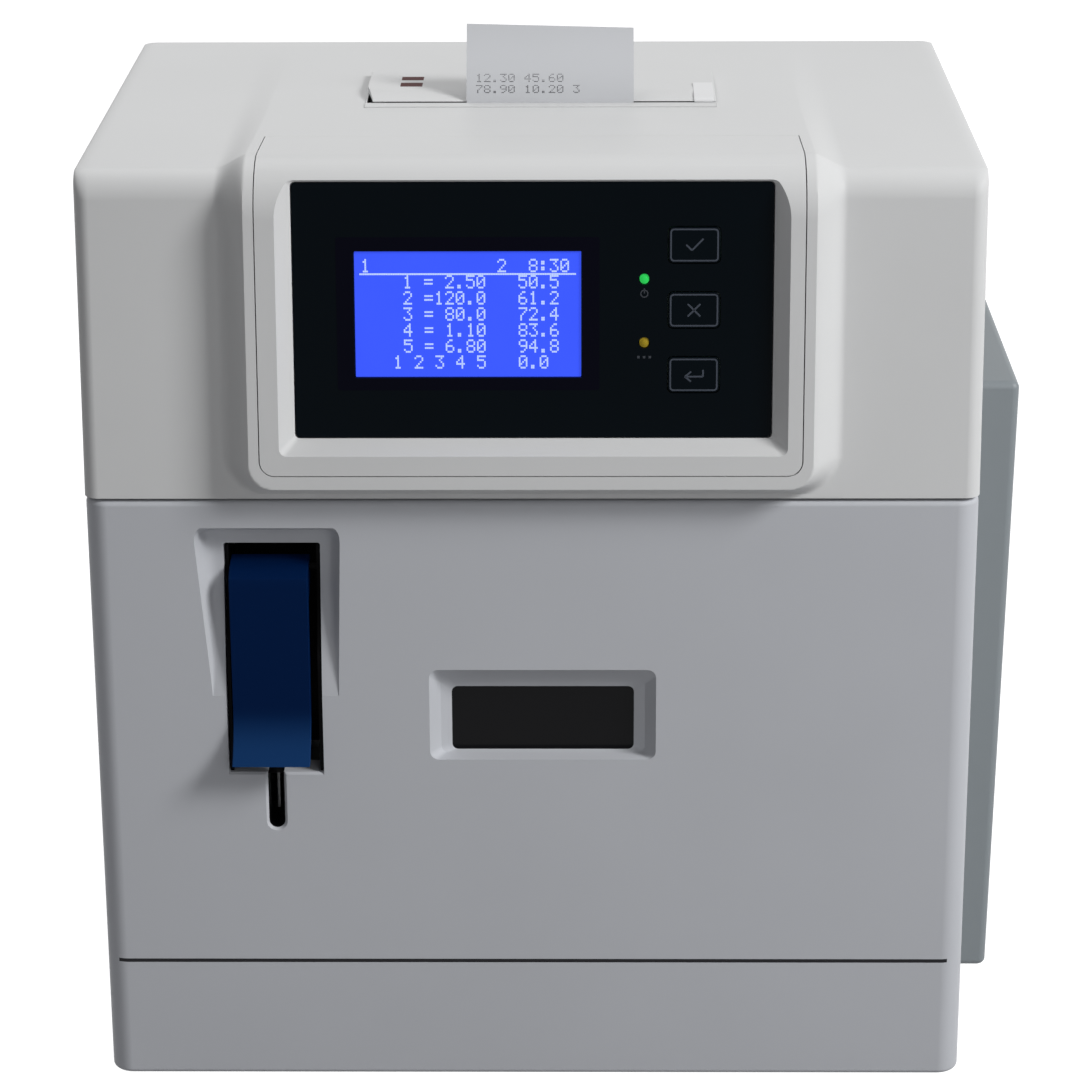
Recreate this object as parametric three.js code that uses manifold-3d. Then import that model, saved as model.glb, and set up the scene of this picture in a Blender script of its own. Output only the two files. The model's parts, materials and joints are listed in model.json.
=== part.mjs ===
// Bench electrolyte analyzer: a two-part casing, a hinged front door with a sampling lever,
// a sloping console, a thermal printer on top and a reagent pack in the right side.
// Millimetres. X runs to the right seen from the front, Y to the back, Z up.
import * as THREE from 'three';
import { mergeVertices } from 'three/addons/utils/BufferGeometryUtils.js';
import Module from 'manifold-3d';

const wasm = await Module();
wasm.setup();

// Driving dimensions, measured from the body's underside, centre line and door face
const body = { width: 290, depth: 213, top: 313.9, seam: 207.15, corner: 7.5, wall: 3 };
const gap = { fit: 0.3, seam: 1, over: 2 };
const arc = { steps: 4, round: 16, small: 10, turn: 0.5 * Math.PI };
const foot = { height: 5, radius: 8, inset: 26, screw: 1.5 };
const lean = THREE.MathUtils.degToRad(4.5);
const door = { depth: 20, wall: 3, edge: 1.6, backing: 11 };
const hinge = { barrel: 5.5, pin: 1.5, depth: 14, length: 18 };
const scoop = { left: -105.6, right: -60.8, top: 197.8, end: 141.6, deep: 8, narrow: 1.2 };
const cutout = { left: -100.7, right: -68.4, bottom: 110.9, top: 192.6 };
const slot = { x: -85.4, width: 5.3, bottom: 91.9 };
const sight = { left: -26.5, right: 33.4, bottom: 121.3, top: 142.7, deep: 6, corner: 2 };
const sightBevel = { left: -31.8, right: 40.4, bottom: 118.4, top: 148.7 };
const pane = { thick: 2.5, lap: 4 };
const consoleSize = {
  half: 90.2, fillet: 10, rise: 7.15, out: 10, bend: 18.5, crest: 4.6, back: 96, foot: 2,
};
const bezel = { inset: 3.6, rise: 11.75, corner: 5, wall: 3 };
const panel = {
  span: 82, left: -75.2, right: 76.8, rise: 22.85, under: 1.9, thick: 2, deep: 5, bevel: 5, lap: 4,
  corner: 1.5,
};
const lcd = { left: -56, right: 16.4, rise: 19.4, height: 40.8, thick: 3, frame: 5, sunk: 0.6 };
const pcb = { thick: 1.6 };
const keys = {
  left: 43.7, width: 16.3, height: 11.5, rise: 14.7, pitch: 20.85, travel: 0.6, thick: 1.4, proud: 0.3,
  corner: 1.6, stem: 2,
};
const led = { x: 36.1, low: 30.8, high: 51.3, radius: 1.5 };
const lever = {
  width: 26, left: -98.4, top: 185, bottom: 117, pivotY: 12, pivotZ: 181, pin: 1.5, hub: 5, front: 4,
  brow: 5, lip: 9, shell: 3,
};
const needle = { radius: 0.8, tip: 95.5, y: 10, holder: 3, holderTop: 150, holderEnd: 118, clip: 8 };
const bracket = { wall: 2, face: 2, set: 9, brow: 20, back: 57.7, deep: 30 };
const pack = {
  front: 60, backInset: 23, bottom: 11.3, above: 21.65, outTop: 18.7, outBottom: 14.9, round: 2.5,
  wall: 2.6,
};
const bay = { deep: 37, inset: 8, bottom: 20, below: 11.15, wall: 2 };
const printer = {
  left: -57.5, right: 62, gapFront: 5.3, length: 48.7, rise: 3.2, slotY: 5.7, side: 2.5, bar: 5.1, depth: 52,
  slit: 1, ear: 3, tail: 1.4, ramp: 3.6,
};
const platen = { back: 11.9, under: 4.9, radius: 5, pin: 1.5, head: 8 };
const paper = {
  left: -23, width: 57, thick: 0.3, roll: 19, core: 6, back: 24.7, under: 28.9, margin: 3,
  tuck: 1, straight: 10, curl: 11.5, out: 24.8,
};
const plate = { y: 58, thick: 2 };
const tray = { thick: 2, front: 8 };
const deck = { thick: 1.5, front: 5 };

const inlet = { side: 45, z: 40, half: 13.5, tall: 10, flange: 3, thick: 2, length: 16, wall: 2, pin: 1 };
const port = { side: 125, z: 40, half: 15.5, tall: 6, flange: 3, thick: 1.5, length: 10 };
const rocker = { side: 45, z: 75, half: 9, tall: 6.5, frame: 3, deep: 14, crest: 3, pin: 1.2 };
const vent = { side: 45, width: 80, bottom: 60, pitch: 9, height: 3.5, count: 8 };
const pump = {
  aside: 32, z: 96, face: 34, floor: 3, shaft: 2.5, rotor: 9.4, orbit: 9.6, roller: 2.8, track: 17.4,
  tube: 1.3, body: 46, motor: 18, disc: 2, hubGap: 1, rollers: 3, length: 38, leg: 26,
};
const cell = {
  left: -34, right: 46, front: 26, bottom: 112, top: 154, z: 132, start: 8, pitch: 12.8, radius: 5, seat: 44,
  nose: 22, cap: 3, step: 1, flow: 1, flowY: 40,
};
const sensor = { width: 14, half: 9 };
const valve = {
  x: -100, y: 46, front: 36, bottom: 44, height: 16, width: 48, pitch: 22, coil: 18, radius: 8, plug: 4,
  plunger: 2.5, stroke: 2,
};

const bottle = { count: 3, space: 1, clear: 2, shoulder: 118, neck: 8, height: 150, cap: 14 };
const nozzle = { z: 150, radius: 2.5, reach: 9, dock: 12, edge: 7 };
const board = { side: 20, clear: 64, bottom: 70, below: 17.15, post: 6, edge: 6, chip: 4 };
const chipShares = [
  [0.2, 0.5, 0.2, 0.25], [0.55, 0.55, 0.12, 0.2], [0.3, 0.12, 0.35, 0.15], [0.75, 0.15, 0.1, 0.6],
];
const supply = { side: 20, width: 105, inset: 25, deep: 80, height: 42, lug: 6 };

const halfWidth = body.width / 2;
const panelBottom = body.seam + panel.rise;
const panelTop = body.top - panel.under;
const panelFit = (panelTop - panelBottom) / panel.span;
const lcdBottom = panelBottom + lcd.rise * panelFit;
const lcdTop = lcdBottom + lcd.height * panelFit;
const keyHeight = keys.height * panelFit;
const lampHigh = led.high * panelFit;
const lampLow = led.low * panelFit;
const bezelBottom = body.seam + bezel.rise;
const bezelHalf = consoleSize.half - bezel.inset;
const consoleBottom = body.seam + consoleSize.rise;
const consoleRoof = body.top + consoleSize.crest;
const printerFront = consoleSize.back + printer.gapFront;
const printerBack = printerFront + printer.length;
const slotY = printerFront + printer.slotY;
const platenY = printerFront + platen.back;
const platenZ = body.top - platen.under;
const rollY = printerFront + paper.back;
const rollZ = body.top - paper.under;
const packBack = body.depth - pack.backInset;
const packTop = body.seam + pack.above;
const bayBack = packBack - bay.inset;
const bayFront = pack.front + bay.inset;
const bayTop = body.seam - bay.below;
const bayInner = halfWidth - bay.deep;
const bottlePitch = (bayBack - bayFront) / bottle.count - bottle.space;
const bottleRadius = bottlePitch / 2 - bottle.clear;
const bottleStart = bottlePitch / 2 + bottle.space;
const pumpX = bayInner - pump.aside;
const inletX = inlet.side - halfWidth;
const rockerX = rocker.side - halfWidth;
const portX = port.side - halfWidth;
const ventRight = halfWidth - vent.side;
const ventLeft = ventRight - vent.width;
const supplyLeft = supply.side - halfWidth;
const supplyRight = supplyLeft + supply.width;
const supplyBack = body.depth - supply.inset;
const boardLeft = board.side - halfWidth;
const boardRight = bayInner - board.clear;
const boardTop = body.seam - board.below;
const backFace = body.depth - body.wall;

// Finishes
function finish(color, roughness, metalness) {
  return new THREE.MeshStandardMaterial({ color, roughness, metalness });
}

const paints = {
  casing: finish(0xc4c6cb, 0.5, 0),
  door: finish(0xb9bcc4, 0.5, 0),
  pack: finish(0x8e969b, 0.55, 0),
  black: finish(0x0c0e12, 0.35, 0),
  gloss: finish(0x0a0f16, 0.1, 0),
  navy: finish(0x08265c, 0.4, 0),
  screen: finish(0x3c5af0, 0.3, 0),
  key: finish(0x10151d, 0.35, 0),
  green: finish(0x3ddc50, 0.3, 0),
  yellow: finish(0xb08a20, 0.3, 0),
  steel: finish(0xb4b7ba, 0.35, 0.9),
  rubber: finish(0x17181a, 0.8, 0),
  paper: finish(0xdcdde0, 0.8, 0),
  board: finish(0x1f5c3a, 0.5, 0),
  acrylic: finish(0xa8c2cc, 0.15, 0),
  cell: finish(0xd9dde0, 0.3, 0),
  tube: finish(0xd8c8a0, 0.5, 0),
  clear: finish(0xd2dde2, 0.2, 0),
};

// Booleans
function solid(geometry) {
  const bare = geometry.clone();
  bare.deleteAttribute('normal');
  bare.deleteAttribute('uv');
  const merged = mergeVertices(bare);
  const vertProperties = new Float32Array(merged.attributes.position.array);
  const triVerts = new Uint32Array(merged.index.array);
  return new wasm.Manifold(new wasm.Mesh({ numProp: 3, vertProperties, triVerts }));
}

function cut(base, ...tools) {
  return tools.reduce((left, tool) => left.subtract(solid(tool)), asSolid(base));
}

function join(base, ...parts) {
  return parts.reduce((left, part) => left.add(asSolid(part)), asSolid(base));
}

function asSolid(shape) {
  return shape.isBufferGeometry ? solid(shape) : shape;
}

function asGeometry(shape) {
  if (shape.isBufferGeometry) return shape;
  const data = shape.getMesh();
  const geometry = new THREE.BufferGeometry();
  geometry.setAttribute(
    'position', new THREE.BufferAttribute(new Float32Array(data.vertProperties), data.numProp),
  );
  geometry.setIndex(new THREE.BufferAttribute(new Uint32Array(data.triVerts), 1));
  geometry.computeVertexNormals();
  return geometry;
}

function piece(name, shape, paint, group = instrument) {
  const mesh = new THREE.Mesh(asGeometry(shape), paint);
  mesh.name = name;
  group.add(mesh);
  return mesh;
}

// Shapes between stated limits
function block(x0, x1, y0, y1, z0, z1) {
  const geometry = new THREE.BoxGeometry(x1 - x0, y1 - y0, z1 - z0);
  return geometry.translate((x0 + x1) / 2, (y0 + y1) / 2, (z0 + z1) / 2);
}

function extrude(shape, depth, basis) {
  const geometry = new THREE.ExtrudeGeometry(
    shape, { depth, bevelEnabled: false, curveSegments: arc.steps / 2 },
  );
  return geometry.applyMatrix4(basis);
}

const alongX = new THREE.Matrix4().set(0, 0, 1, 0, 1, 0, 0, 0, 0, 1, 0, 0, 0, 0, 0, 1);
const alongBack = new THREE.Matrix4().set(1, 0, 0, 0, 0, 0, -1, 0, 0, 1, 0, 0, 0, 0, 0, 1);

function slabX(points, x0, x1) {
  const outline = new THREE.Shape(points.map(([y, z]) => new THREE.Vector2(y, z)));
  return extrude(outline, x1 - x0, alongX).translate(x0, 0, 0);
}

function slabY(shape, y0, y1) {
  return extrude(shape, y1 - y0, alongBack).translate(0, y1, 0);
}

function rounded(x0, x1, z0, z1, radius) {
  const shape = new THREE.Shape();
  shape.absarc(x1 - radius, z0 + radius, radius, -arc.turn, 0);
  shape.absarc(x1 - radius, z1 - radius, radius, 0, arc.turn);
  shape.absarc(x0 + radius, z1 - radius, radius, arc.turn, 2 * arc.turn);
  shape.absarc(x0 + radius, z0 + radius, radius, 2 * arc.turn, 3 * arc.turn);
  shape.closePath();
  return shape;
}

function rodZ(x, y, z0, z1, radius, steps = arc.small) {
  const geometry = new THREE.CylinderGeometry(radius, radius, z1 - z0, steps);
  return geometry.rotateX(arc.turn).translate(x, y, (z0 + z1) / 2);
}

function rodX(x0, x1, y, z, radius, steps = arc.small) {
  const geometry = new THREE.CylinderGeometry(radius, radius, x1 - x0, steps);
  return geometry.rotateZ(arc.turn).translate((x0 + x1) / 2, y, z);
}

function rodY(x, y0, y1, z, radius, steps = arc.small) {
  const geometry = new THREE.CylinderGeometry(radius, radius, y1 - y0, steps);
  return geometry.translate(x, (y0 + y1) / 2, z);
}

// A closed skin through rings of equally many points, the first ring's cap facing backwards
function loft(rings) {
  const count = rings[0].length;
  const positions = rings.flat().flatMap((point) => point.toArray());
  const index = [];
  for (let row = 0; row < rings.length - 1; row += 1) {
    for (let i = 0; i < count; i += 1) {
      const a = row * count + i;
      const b = row * count + (i + 1) % count;
      index.push(a, b, b + count, a, b + count, a + count);
    }
  }
  const flat = (ring) => THREE.ShapeUtils.triangulateShape(flatten(ring), []);
  const last = (rings.length - 1) * count;
  flat(rings[0]).forEach(([a, b, c]) => index.push(c, b, a));
  flat(rings[rings.length - 1]).forEach(([a, b, c]) => index.push(a + last, b + last, c + last));
  const geometry = new THREE.BufferGeometry();
  geometry.setAttribute('position', new THREE.Float32BufferAttribute(positions, 3));
  geometry.setIndex(index);
  return geometry;
}

// A planar ring as flat points, counter-clockwise about the plane that it lies in
function flatten(ring) {
  const alongAxisX = ring.every((point) => point.x === ring[0].x);
  return ring.map(
    (point) => (alongAxisX ? new THREE.Vector2(point.y, point.z) : new THREE.Vector2(point.x, point.y))
  );
}

const instrument = new THREE.Group();
instrument.position.z = foot.height;

// Upper housing: side profiles lofted across the width, raised into the console's frame
function faceY(z) {
  return (z - body.seam) * Math.tan(lean);
}

function crown(out, radius, top, inset) {
  const centreZ = top - radius;
  const centreY = faceY(centreZ) - out + radius / Math.cos(lean);
  return Array.from({ length: arc.steps + 1 }, (_, i) => {
    const angle = Math.PI - lean - (i / arc.steps) * (arc.turn - lean);
    return [centreY + (radius - inset) * Math.cos(angle), centreZ + (radius - inset) * Math.sin(angle)];
  });
}

function profile(out, radius, top, inset, low) {
  const { foot: step, back } = consoleSize;
  const bottom = consoleBottom;
  return [
    [faceY(low) + inset, low],
    [faceY(bottom - step) + inset, bottom - step],
    [faceY(bottom) - out + inset, bottom],
    ...crown(out, radius, top, inset),
    [back, body.top - inset],
    [body.depth - inset, body.top - inset],
    [body.depth - inset, low],
  ];
}

function upperRing(x, share, inset, low) {
  const plain = profile(0, body.corner + gap.over, body.top, inset, low);
  const raised = profile(consoleSize.out, consoleSize.bend, consoleRoof, inset, low);
  const mixed = plain.map(([y, z], i) => {
    const [toY, toZ] = raised[i];
    return new THREE.Vector3(x, y + share * (toY - y), z + share * (toZ - z));
  });
  return mixed.reverse();
}

function quarter(i) {
  return (i / arc.steps) * arc.turn;
}

function upperSkin() {
  const low = body.seam + gap.seam;
  const left = [];
  for (let i = 0; i <= arc.steps; i += 1) {
    const x = halfWidth - body.corner * (1 - Math.sin(quarter(i)));
    left.push([-x, 0, body.corner * (1 - Math.cos(quarter(i)))]);
  }
  left.reverse();
  for (let i = 0; i <= arc.steps; i += 1) {
    const x = consoleSize.half + consoleSize.fillet * (1 - Math.sin(quarter(i)));
    left.push([-x, 1 - Math.cos(quarter(i)), 0]);
  }
  const right = left.map(([x, share, inset]) => [-x, share, inset]).reverse();
  return [...left, ...right].map(([x, share, inset]) => upperRing(x, share, inset, low));
}

function upperHollow() {
  const inner = halfWidth - body.wall;
  const { half } = consoleSize;
  const stations = [
    [-inner, 0], [-half, 0], [body.wall - half, 1], [half - body.wall, 1], [half, 0], [inner, 0],
  ];
  return stations.map(([x, share]) => upperRing(x, share, body.wall, body.seam - gap.over));
}

function consoleCut() {
  const low = bezelBottom - gap.fit;
  const front = -consoleSize.bend - consoleSize.out;
  const high = consoleRoof + consoleSize.out;
  const inside = panelFaceY(panelBottom) + consoleSize.out;
  const under = body.top - consoleSize.out;
  const back = consoleSize.back + gap.fit;
  const outline = [
    [front, low], [inside, low], [inside, under], [back, under], [back, high], [front, high],
  ];
  return slabX(outline, -bezelHalf - gap.fit, bezelHalf + gap.fit);
}

function panelFaceY(z) {
  return faceY(z) - consoleSize.out + panel.deep;
}

function printerCut(clear) {
  const under = body.top - consoleSize.bend;
  const high = body.top + consoleSize.bend;
  return block(
    printer.left - clear, printer.right + clear, printerFront - clear, printerBack + clear, under, high,
  );
}

piece(
  'upper_housing', cut(loft(upperSkin()), loft(upperHollow()), consoleCut(), printerCut(gap.fit)),
  paints.casing,
);

// Console bezel: a bent band that follows the frame's profile, with the panel's bevelled window
function bezelBand() {
  const { out, bend, back } = consoleSize;
  const edge = (inset) => [
    [faceY(bezelBottom) - out + inset, bezelBottom],
    ...crown(out, bend, consoleRoof, inset),
    [back - gap.fit, body.top - inset + gap.fit],
  ];
  const band = slabX([...edge(0), ...edge(bezel.wall).reverse()].reverse(), -bezelHalf, bezelHalf);
  const view = rounded(-bezelHalf, bezelHalf, bezelBottom, consoleRoof + bend, bezel.corner);
  return asSolid(band).intersect(solid(slabY(view, -bend - out, body.depth)));
}

function frustum(inner, outer, depth, front) {
  const ring = ([x0, x1, z0, z1], y) => [
    [x0, z0], [x1, z0], [x1, z1], [x0, z1],
  ].map(([x, z]) => new THREE.Vector3(x, y, z));
  const grow = front / depth;
  const wide = outer.map((value, i) => value + (value - inner[i]) * grow);
  return loftAlongY(ring(inner, depth), ring(wide, -front));
}

function loftAlongY(back, front) {
  const flip = (ring) => ring.map((point) => new THREE.Vector3(point.x, point.z, -point.y));
  const geometry = loft([flip(back), flip(front)]);
  return geometry.rotateX(arc.turn);
}

function leaned(geometry, z) {
  return geometry.rotateX(-lean).translate(0, panelFaceY(z), z);
}

function panelRecess() {
  const { left, right, bevel, deep } = panel;
  const height = (panelTop - panelBottom) / Math.cos(lean);
  const inner = [left - gap.fit, right + gap.fit, -gap.fit, height + gap.fit];
  const outer = [left - bevel, right + bevel, -bevel, height + bevel];
  return leaned(frustum(inner, outer, deep, consoleSize.bend).translate(0, -deep, 0), panelBottom);
}

function panelSlab(grow, y0, y1) {
  const height = (panelTop - panelBottom) / Math.cos(lean);
  const shape = rounded(panel.left - grow, panel.right + grow, -grow, height + grow, panel.corner);
  return leaned(slabY(shape, y0, y1), panelBottom);
}


function consoleCore() {
  const { out, bend } = consoleSize;
  const outer = [[faceY(bezelBottom) - out, bezelBottom], ...crown(out, bend, consoleRoof, 0)];
  const inner = [[outer[outer.length - 1][0], bezelBottom]];
  return slabX([...outer, ...inner].reverse(), -bezelHalf, bezelHalf);
}

function consoleBezel() {
  const ledge = asSolid(
    panelSlab(panel.bevel, -panel.deep, panel.thick + bezel.wall)
  ).intersect(solid(consoleCore()));
  const pocket = panelSlab(gap.fit, -gap.fit, panel.thick + gap.fit);
  const window = panelSlab(-panel.lap, 0, consoleSize.bend);
  return cut(join(bezelBand(), ledge), panelRecess(), pocket, window);
}

piece('console_bezel', consoleBezel(), paints.casing);

// Control panel, display and keys, in the panel's own leaning frame
const face = new THREE.Group();
face.position.set(0, panelFaceY(panelBottom), panelBottom);
face.rotation.x = -lean;
instrument.add(face);

const panelHeight = (panelTop - panelBottom) / Math.cos(lean);
const keyRows = [0, 1, 2].map((row) => (keys.rise + row * keys.pitch) * panelFit / Math.cos(lean));
const keyNames = ['key_return', 'key_cancel', 'key_confirm'];

function rise(z) {
  return (z - panelBottom) / Math.cos(lean);
}

function keyShape(low, grow) {
  return rounded(
    keys.left - grow, keys.left + keys.width + grow, low - grow, low + keyHeight + grow,
    keys.corner + grow,
  );
}

function controlPanel() {
  const sheet = slabY(rounded(panel.left, panel.right, 0, panelHeight, panel.corner), 0, panel.thick);
  const through = [-gap.over, panel.thick + gap.over];
  const view = slabY(rounded(lcd.left, lcd.right, rise(lcdBottom), rise(lcdTop), panel.corner), ...through);
  const keyHoles = keyRows.map((low) => slabY(keyShape(low, gap.fit), ...through));
  const lampHoles = [lampHigh, lampLow].map((z) => rodY(led.x, ...through, z, led.radius + gap.fit));
  return cut(sheet, view, ...keyHoles, ...lampHoles);
}

piece('control_panel', controlPanel(), paints.gloss, face);

const lcdBack = panel.thick + gap.fit + lcd.thick;
const boardFront = panel.thick + 2 * gap.fit;

function lcdScreen() {
  const { left, right, frame } = lcd;
  const [low, high] = [rise(lcdBottom), rise(lcdTop)];
  const module = block(
    left - frame, right + frame, panel.thick + gap.fit, lcdBack, low - frame, high + frame,
  );
  const clear = 2 * gap.fit;
  const glass = block(left + clear, right - clear, lcd.sunk, lcdBack, low + clear, high - clear);
  return join(module, glass);
}

piece('lcd_screen', lcdScreen(), paints.screen, face);
const windowLeft = panel.left + panel.lap + 2 * gap.fit;
const windowRight = panel.right - panel.lap - 2 * gap.fit;
const windowLow = panel.lap + 2 * gap.fit;
const windowHigh = panelHeight - panel.lap - 2 * gap.fit;

function panelBoard() {
  const front = lcdBack + gap.fit;
  const board = block(windowLeft, windowRight, front, front + pcb.thick, windowLow, windowHigh);
  const middle = keys.left + keys.width / 2;
  const switches = keyRows.map((low) => (
    rodY(middle, boardFront, front + gap.fit, low + keyHeight / 2, keys.stem + gap.seam)));
  const lamps = [lampHigh, lampLow].map((z) => rodY(led.x, boardFront, front + gap.fit, z, led.radius));
  return join(board, ...switches, ...lamps);
}

piece('panel_board', panelBoard(), paints.board, face);

keyRows.forEach((low, row) => {
  const middle = keys.left + keys.width / 2;
  const stemEnd = boardFront - gap.fit - keys.travel;
  const cap = slabY(keyShape(low, 0), -keys.proud, keys.thick - keys.proud);
  const stem = rodY(middle, 0, stemEnd, low + keyHeight / 2, keys.stem);
  piece(keyNames[row], join(cap, stem), paints.key, face);
});

piece('power_lamp', rodY(led.x, 0, panel.thick + gap.fit, lampHigh, led.radius), paints.green, face);
piece('status_lamp', rodY(led.x, 0, panel.thick + gap.fit, lampLow, led.radius), paints.yellow, face);

// Lower casing, tray, deck and the plate that carries the fluid parts
function planRing(z, x0, x1, y0, y1, front, back) {
  const shape = new THREE.Shape();
  shape.absarc(x1 - front, y0 + front, front, -arc.turn, 0);
  shape.absarc(x1 - back, y1 - back, back, 0, arc.turn);
  shape.absarc(x0 + back, y1 - back, back, arc.turn, 2 * arc.turn);
  shape.absarc(x0 + front, y0 + front, front, 2 * arc.turn, 3 * arc.turn);
  return shape.getPoints(arc.steps / 2).map((point) => new THREE.Vector3(point.x, point.y, z));
}

const chassisFront = door.depth + gap.seam;

function sideWrap() {
  const skin = loft(
    [0, body.seam].map(
      (z) => planRing(z, -halfWidth, halfWidth, chassisFront, body.depth, gap.fit, body.corner)
    )
  );
  const inner = halfWidth - body.wall;
  const hollow = block(-inner, inner, 0, backFace, -gap.over, body.seam + gap.over);
  const bayDoor = block(0, body.width, bayFront, bayBack, bay.bottom, bayTop);
  const inletHole = block(
    inletX - inlet.half, inletX + inlet.half, backFace - gap.over, body.width, inlet.z - inlet.tall,
    inlet.z + inlet.tall,
  );
  const portHole = block(
    portX - port.half, portX + port.half, backFace - gap.over, body.width, port.z - port.tall,
    port.z + port.tall,
  );
  return cut(skin, hollow, bayDoor, inletHole, portHole, switchHole(), ...ventSlots());
}

function switchHole() {
  const { z, half, tall } = rocker;
  const x = rockerX;
  const grow = rocker.frame - gap.over;
  return block(
    x - half - grow, x + half + grow, backFace - gap.over, body.width, z - tall - grow, z + tall + grow,
  );
}

function ventSlots() {
  return Array.from({ length: vent.count }, (_, i) => {
    const z = vent.bottom + i * vent.pitch;
    return block(ventLeft, ventRight, backFace - gap.over, body.width, z, z + vent.height);
  });
}

piece('lower_housing', sideWrap(), paints.casing);

const insideX = halfWidth - body.wall - gap.fit;
const insideY = backFace - gap.fit;
const pinX = hinge.barrel - halfWidth;
const trayTop = -gap.fit;
const trayLow = trayTop - tray.thick;
const deckLow = body.seam + gap.fit;
const deckTop = deckLow + deck.thick;
const footSpots = [-1, 1].flatMap(
  (side) => [foot.inset, body.depth - foot.inset].map((y) => [side * (halfWidth - foot.inset), y])
);

function baseTray() {
  const sheet = block(-insideX, insideX, tray.front, insideY + body.wall, trayLow, trayTop);
  const holes = footSpots.map(([x, y]) => rodZ(x, y, trayLow - gap.over, gap.over, foot.screw + gap.fit));
  const pinHole = rodZ(pinX, hinge.depth, trayLow - gap.over, gap.over, hinge.pin + gap.fit);
  return cut(sheet, pinHole, ...holes);
}

piece('base_tray', baseTray(), paints.steel);

function deckPlate() {
  const sheet = block(-insideX, insideX, deck.front, insideY, deckLow, deckTop);
  const pinHole = rodZ(pinX, hinge.depth, deckLow - gap.over, deckTop + gap.over, hinge.pin + gap.fit);
  return cut(sheet, pinHole);
}

piece('deck_plate', deckPlate(), paints.steel);

function mountingPlate() {
  const sheet = block(
    -insideX, bayInner - bay.wall - gap.fit, plate.y, plate.y + plate.thick, 0, body.seam,
  );
  const shaftHole = rodY(pumpX, plate.y - gap.over, body.depth, pump.z, pump.shaft + gap.fit);
  return cut(sheet, shaftHole);
}

piece('mounting_plate', mountingPlate(), paints.steel);

footSpots.forEach(([x, y], i) => {
  const pad = rodZ(x, y, -foot.height, trayLow - gap.fit, foot.radius, arc.round);
  const stud = rodZ(x, y, -foot.height + gap.fit, trayTop, foot.screw);
  piece(`foot_${i + 1}`, join(pad, stud), paints.rubber);
});

// Front door, built as a tray with a thick backing round the lever's scoop and the window
function doorRing(z, inset) {
  const side = halfWidth - inset;
  return planRing(z, -side, side, inset, door.depth, body.corner - inset, gap.fit);
}

function doorSkin() {
  const { edge } = door;
  const curve = [0, 1, 2].map((i) => (i / 2) * arc.turn);
  const turned = curve.map((angle) => [edge * (1 - Math.cos(angle)), edge * (1 - Math.sin(angle))]);
  const bottom = turned.map(([z, inset]) => doorRing(z, inset));
  const top = turned.map(([z, inset]) => doorRing(body.seam - z, inset)).reverse();
  return loft([...bottom, ...top]);
}

function scoopCut() {
  const { left, right, top, end, deep, narrow } = scoop;
  const ring = (z, x0, x1, in0, in1, depth) => [
    [x0, -gap.over], [x1, -gap.over], [x1, 0], [in1, depth], [in0, depth], [x0, 0],
  ].map(([x, y]) => new THREE.Vector3(x, y, z));
  const low = ring(end, left + narrow, right - 2 * narrow, cutout.left, cutout.right, gap.fit);
  const high = ring(cutout.top, left, right, cutout.left, cutout.right, deep);
  const lip = ring(top, left, right, cutout.left, cutout.right, gap.fit);
  return loft([low, high, lip]);
}

function slotCut() {
  const half = slot.width / 2;
  const shape = new THREE.Shape();
  shape.absarc(slot.x, slot.bottom + half, half, Math.PI, 2 * Math.PI);
  shape.lineTo(slot.x + half, cutout.bottom + gap.over);
  shape.lineTo(slot.x - half, cutout.bottom + gap.over);
  return slabY(shape, -door.depth, door.depth);
}

function sightCut() {
  const inner = [sight.left, sight.right, sight.bottom, sight.top];
  const outer = [sightBevel.left, sightBevel.right, sightBevel.bottom, sightBevel.top];
  const bevel = frustum(inner, outer, sight.deep, gap.over);
  const hole = slabY(rounded(...inner, sight.corner), 0, door.depth);
  return join(bevel, hole);
}

function frontDoor() {
  const inner = halfWidth - door.wall;
  const hollow = block(-inner, inner, door.wall, door.depth + gap.over, door.wall, body.seam - door.wall);
  const rim = door.backing - scoop.deep + door.wall;
  const backing = block(
    scoop.left - rim, scoop.right + rim, gap.fit, door.backing, slot.bottom - rim, scoop.top + rim,
  );
  const frame = pane.lap + door.wall;
  const around = block(
    sight.left - frame, sight.right + frame, gap.fit, sight.deep, sight.bottom - frame,
    sightBevel.top + door.wall,
  );
  const barrel = rodZ(pinX, hinge.depth, door.edge, body.seam - door.edge, hinge.barrel, arc.round);
  const opening = slabY(
    rounded(cutout.left, cutout.right, cutout.bottom, cutout.top, gap.fit), -gap.over, door.depth,
  );
  const bore = rodZ(pinX, hinge.depth, -gap.over, body.seam + gap.over, hinge.pin + gap.fit);
  const edge = block(-halfWidth, pinX, hinge.depth, door.depth + gap.over, -gap.over, body.seam + gap.over);
  const swing = rodZ(
    pinX, hinge.depth, -body.width, body.width, door.depth - gap.seam - hinge.depth, arc.round,
  );
  const shell = join(cut(doorSkin(), hollow), backing, around, barrel);
  return cut(
    shell, scoopCut(), opening, slotCut(), bore, asGeometry(cut(edge, swing)),
  ).subtract(sightCut());
}

piece('front_door', frontDoor(), paints.door);

const paneFront = sight.deep + gap.fit;
piece(
  'window_pane',
  block(
    sight.left - pane.lap, sight.right + pane.lap, paneFront, paneFront + pane.thick,
    sight.bottom - pane.lap, sight.top + pane.lap,
  ),
  paints.gloss,
);

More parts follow.
